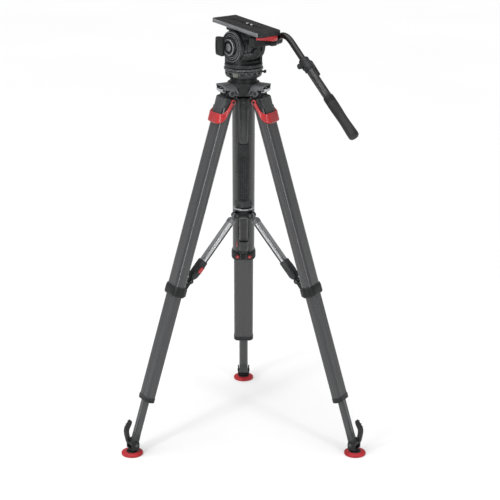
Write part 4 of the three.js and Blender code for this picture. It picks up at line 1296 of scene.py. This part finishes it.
def pan_bar_arm():
    """Bent arm with its hinge disc, and the knob that clamps it to the rosette."""
    low = span("pan_bar_arm", BAR)[0]
    radius = 8.5
    sides = 40
    hinge = BAR.inverted() @ at("bar_angle") / MM
    bend = [to_bar((0, y, z)) for y, z in ((-90, 1146), (-106, 1152), (-122, 1150.5), (-137, 1143))]
    knots = [(0, point.y, point.z) for point in [hinge] + bend]
    knots += [(0, 0, z) for z in (70, 20, low.z + 0.5)]
    path = smooth_path(knots, 9)

    def ring_at(i):
        tangent = (path[min(i + 1, len(path) - 1)] - path[max(i - 1, 0)]).normalized()
        side = Vector((1, 0, 0))
        up = tangent.cross(side).normalized()
        angles = [2 * math.pi * k / sides for k in range(sides)]
        return [path[i] + side * radius * math.cos(a) + up * radius * math.sin(a) for a in angles]

    disc = [(0, low.x + 0.1), (11.4, low.x + 0.1), (12.4, low.x + 1), (12.4, 3.4), (11, 5), (0, 5)]
    disc = moved(turned(disc, 64, "x"), 0, hinge.y, hinge.z)
    arm = combine(sweep(path, ring_at), add=[disc])
    piece("pan_bar_arm", arm, BAR, "bar_arm", "gloss_black", ["pan_bar_arm"])

    knob = [(0, 8.2), (9.4, 8.2), (10.6, 9.2), (10.6, 16.4), (9.4, 17.6), (0, 17.6)]
    knob = moved(turned(knob, 90, "x", wave=fluted(10, 0.06)), -3.4, hinge.y, hinge.z)
    piece("rosette_knob", knob, BAR, "bar_arm", "black_plastic")


def pan_bar_tube():
    """Outer tube of the bar."""
    low, high = span("pan_bar_tube", BAR)
    outer = high.x
    tube = [(TUBE_BORE, low.z + 1), (outer - 0.4, low.z + 1), (outer, low.z + 1.6), (outer, high.z - 0.8)]
    tube += [(outer - 0.6, high.z), (TUBE_BORE, high.z)]
    tube = turned(tube, 72, looped=True)
    piece("pan_bar_tube", tube, BAR, "bar_tube", "gloss_black", ["pan_bar_tube"])


def pan_bar_grip():
    """Waisted rubber grip with four ribs at its upper end, closed over the end of the tube."""
    tube_low, tube_high = span("pan_bar_tube", BAR)
    low, high = span("pan_bar_grip", BAR)
    bottom, top = low.z, high.z
    inner = tube_high.x + 0.2
    profile = [(0, bottom), (8, bottom), (12, bottom + 1.6), (13.8, bottom + 4.4)]
    steps = 16
    for i in range(steps + 1):
        t = i / steps
        profile.append((14.3 - 1.3 * math.sin(math.pi * t) ** 2, bottom + 8 + (top - bottom - 34) * t))
    for i in range(4):
        z = top - 24 + 4.6 * i
        profile += [(14.2, z), (14.2, z + 2.6), (12.8, z + 3), (12.8, z + 4.2)]
    profile += [(14, top - 5), (14, top - 2), (12.6, top)]
    profile += [(inner, top), (inner, tube_low.z + 0.6), (0, tube_low.z + 0.6)]
    grip = turned(profile, 160, wave=fluted(9, 0.05, 3))
    piece("pan_bar_grip", grip, BAR, "bar_tube", "rubber", ["pan_bar_grip"])


def pan_bar_clamp():
    """Split clamp on the tube, with its knob and its lever."""
    low, high = span("bar_clamp", BAR)
    bottom, top = low.z, high.z
    shell = [(TUBE_BORE, bottom), (12.6, bottom), (14, bottom + 1.4)]
    shell += [(14, top - 2), (12.4, top), (TUBE_BORE, top)]
    block = combine(brick(-16, 15, -7, 7, bottom + 6, top - 8, 3, 1.4, "y"),
                    cut=[rod(TUBE_BORE + 0.02, -40, 40, "z", 0, 72)])
    slit = brick(8, 22, -0.8, 0.8, bottom + 4, top - 6, 0, 0)
    grooves = [hoop(13.4, 15, z, z + 1, steps=72) for z in (bottom + 3, top - 5)]
    clamp = combine(turned(shell, 72, looped=True), add=[block], cut=[slit] + grooves)
    piece("bar_clamp", clamp, BAR, "bar_tube", "black_plastic", ["bar_clamp"])

    low, high = span("clamp_knob", BAR)
    centre = BAR.inverted() @ at("clamp_knob_turn") / MM
    knob = [(0, high.x), (6.6, high.x), (7.5, high.x - 1), (7.5, low.x + 1.4), (6.2, low.x), (0, low.x)]
    knob = moved(turned(knob, 96, "x", wave=fluted(12, 0.06)), 0, centre.y, centre.z)
    piece("clamp_knob", knob, BAR, "clamp_knob", "black_plastic", ["clamp_knob"])

    low, high = span("clamp_lever", BAR)
    centre = BAR.inverted() @ at("clamp_lever_turn") / MM
    outline = [(centre.y - 5, high.z), (centre.y + 5, high.z), (centre.y + 5, centre.z - 8)]
    outline += [(centre.y + 3.4, low.z), (centre.y - 3.4, low.z), (centre.y - 5, centre.z - 8)]
    lever = prism(rounded(outline, [5, 5, 8, 3.4, 3.4, 8]), high.x - 5, high.x - 0.1, "x", 1.4)
    stem = moved(rod(4.5, low.x + 0.1, low.x + 2, "x", 0.1, 32), 0, centre.y, centre.z)
    piece("clamp_lever", combine(lever, add=[stem]), BAR, "clamp_lever", "gloss_black", ["clamp_lever"])


# ---------------------------------------------------------------- stage, light and camera


def stage():
    """White paper floor, white surround, one broad light above and two tall ones in front."""
    size = 12.0
    corners = [(-size, -size), (size, -size), (size, size), (-size, size)]
    floor = to_object(stack([[(x, y, z) for x, y in corners] for z in (-0.02, 0.0)]), "floor")
    paper = Finish("floor", 0.9, specular=0.1).colour((0.86, 0.86, 0.86), (0.88, 0.88, 0.88), 1.5)
    floor.data.materials.append(paper.done(0.02).material)

    world = bpy.data.worlds.new("studio")
    world.use_nodes = True
    nodes = world.node_tree.nodes
    room = nodes["Background"]
    room.inputs["Color"].default_value = (1, 1, 1, 1)
    room.inputs["Strength"].default_value = 0.42
    backdrop = nodes.new("ShaderNodeBackground")
    backdrop.inputs["Color"].default_value = (1, 1, 1, 1)
    backdrop.inputs["Strength"].default_value = 1.0
    path = nodes.new("ShaderNodeLightPath")
    mix = nodes.new("ShaderNodeMixShader")
    links = world.node_tree.links
    links.new(path.outputs["Is Camera Ray"], mix.inputs["Fac"])
    links.new(room.outputs["Background"], mix.inputs[1])
    links.new(backdrop.outputs["Background"], mix.inputs[2])
    links.new(mix.outputs["Shader"], nodes["World Output"].inputs["Surface"])
    bpy.context.scene.world = world

    centre = Vector((at("pan").x, at("pan").y, 0.6))
    sun = bpy.data.lights.new("above", "SUN")
    sun.energy = 2.4
    sun.angle = math.radians(70)
    above = bpy.data.objects.new("above", sun)
    bpy.context.scene.collection.objects.link(above)
    above.rotation_euler = Vector((0.25, 0.2, -1)).to_track_quat("-Z", "Y").to_euler()
    for name, spot, power in (("left", (-1.7, -2.1, 0.9), 20), ("right", (1.7, -2.1, 0.9), 14)):
        light = bpy.data.lights.new(name, "AREA")
        light.shape = "RECTANGLE"
        light.size = 0.22
        light.size_y = 2.2
        light.energy = power
        holder = bpy.data.objects.new(name, light)
        bpy.context.scene.collection.objects.link(holder)
        holder.location = centre + Vector(spot)
        aim = centre - holder.location
        holder.rotation_euler = aim.to_track_quat("-Z", "Y").to_euler()


def camera():
    """The camera stands in front of the tripod, above its top, and looks down. Lengths are in metres."""
    distance, height, pitch = 4.0305, 1.8713, 18.25
    lens = bpy.data.cameras.new("camera")
    lens.sensor_width = 36
    lens.lens = 109.4
    lens.shift_x = 0.0129
    lens.shift_y = -0.002
    holder = bpy.data.objects.new("camera", lens)
    bpy.context.scene.collection.objects.link(holder)
    holder.location = (at("pan").x, at("pan").y - distance, height)
    holder.rotation_euler = (math.radians(90 - pitch), 0, 0)
    bpy.context.scene.camera = holder
    bpy.context.scene.view_settings.view_transform = "Standard"


camera()
stage()
hinge()
hinge_pins()
upper_tubes()
channel_covers()
collars()
brake_yokes()
middle_tubes()
lower_tubes()
feet()
latches()
spreader_hub()
spreader_arms()
spreader_sleeves()
crown()
angle_pawls()
ball()
pan_base()
housing()
head_controls()
tilting_part()
camera_plate()
plate_lock()
pan_bar_arm()
pan_bar_tube()
pan_bar_clamp()
pan_bar_grip()
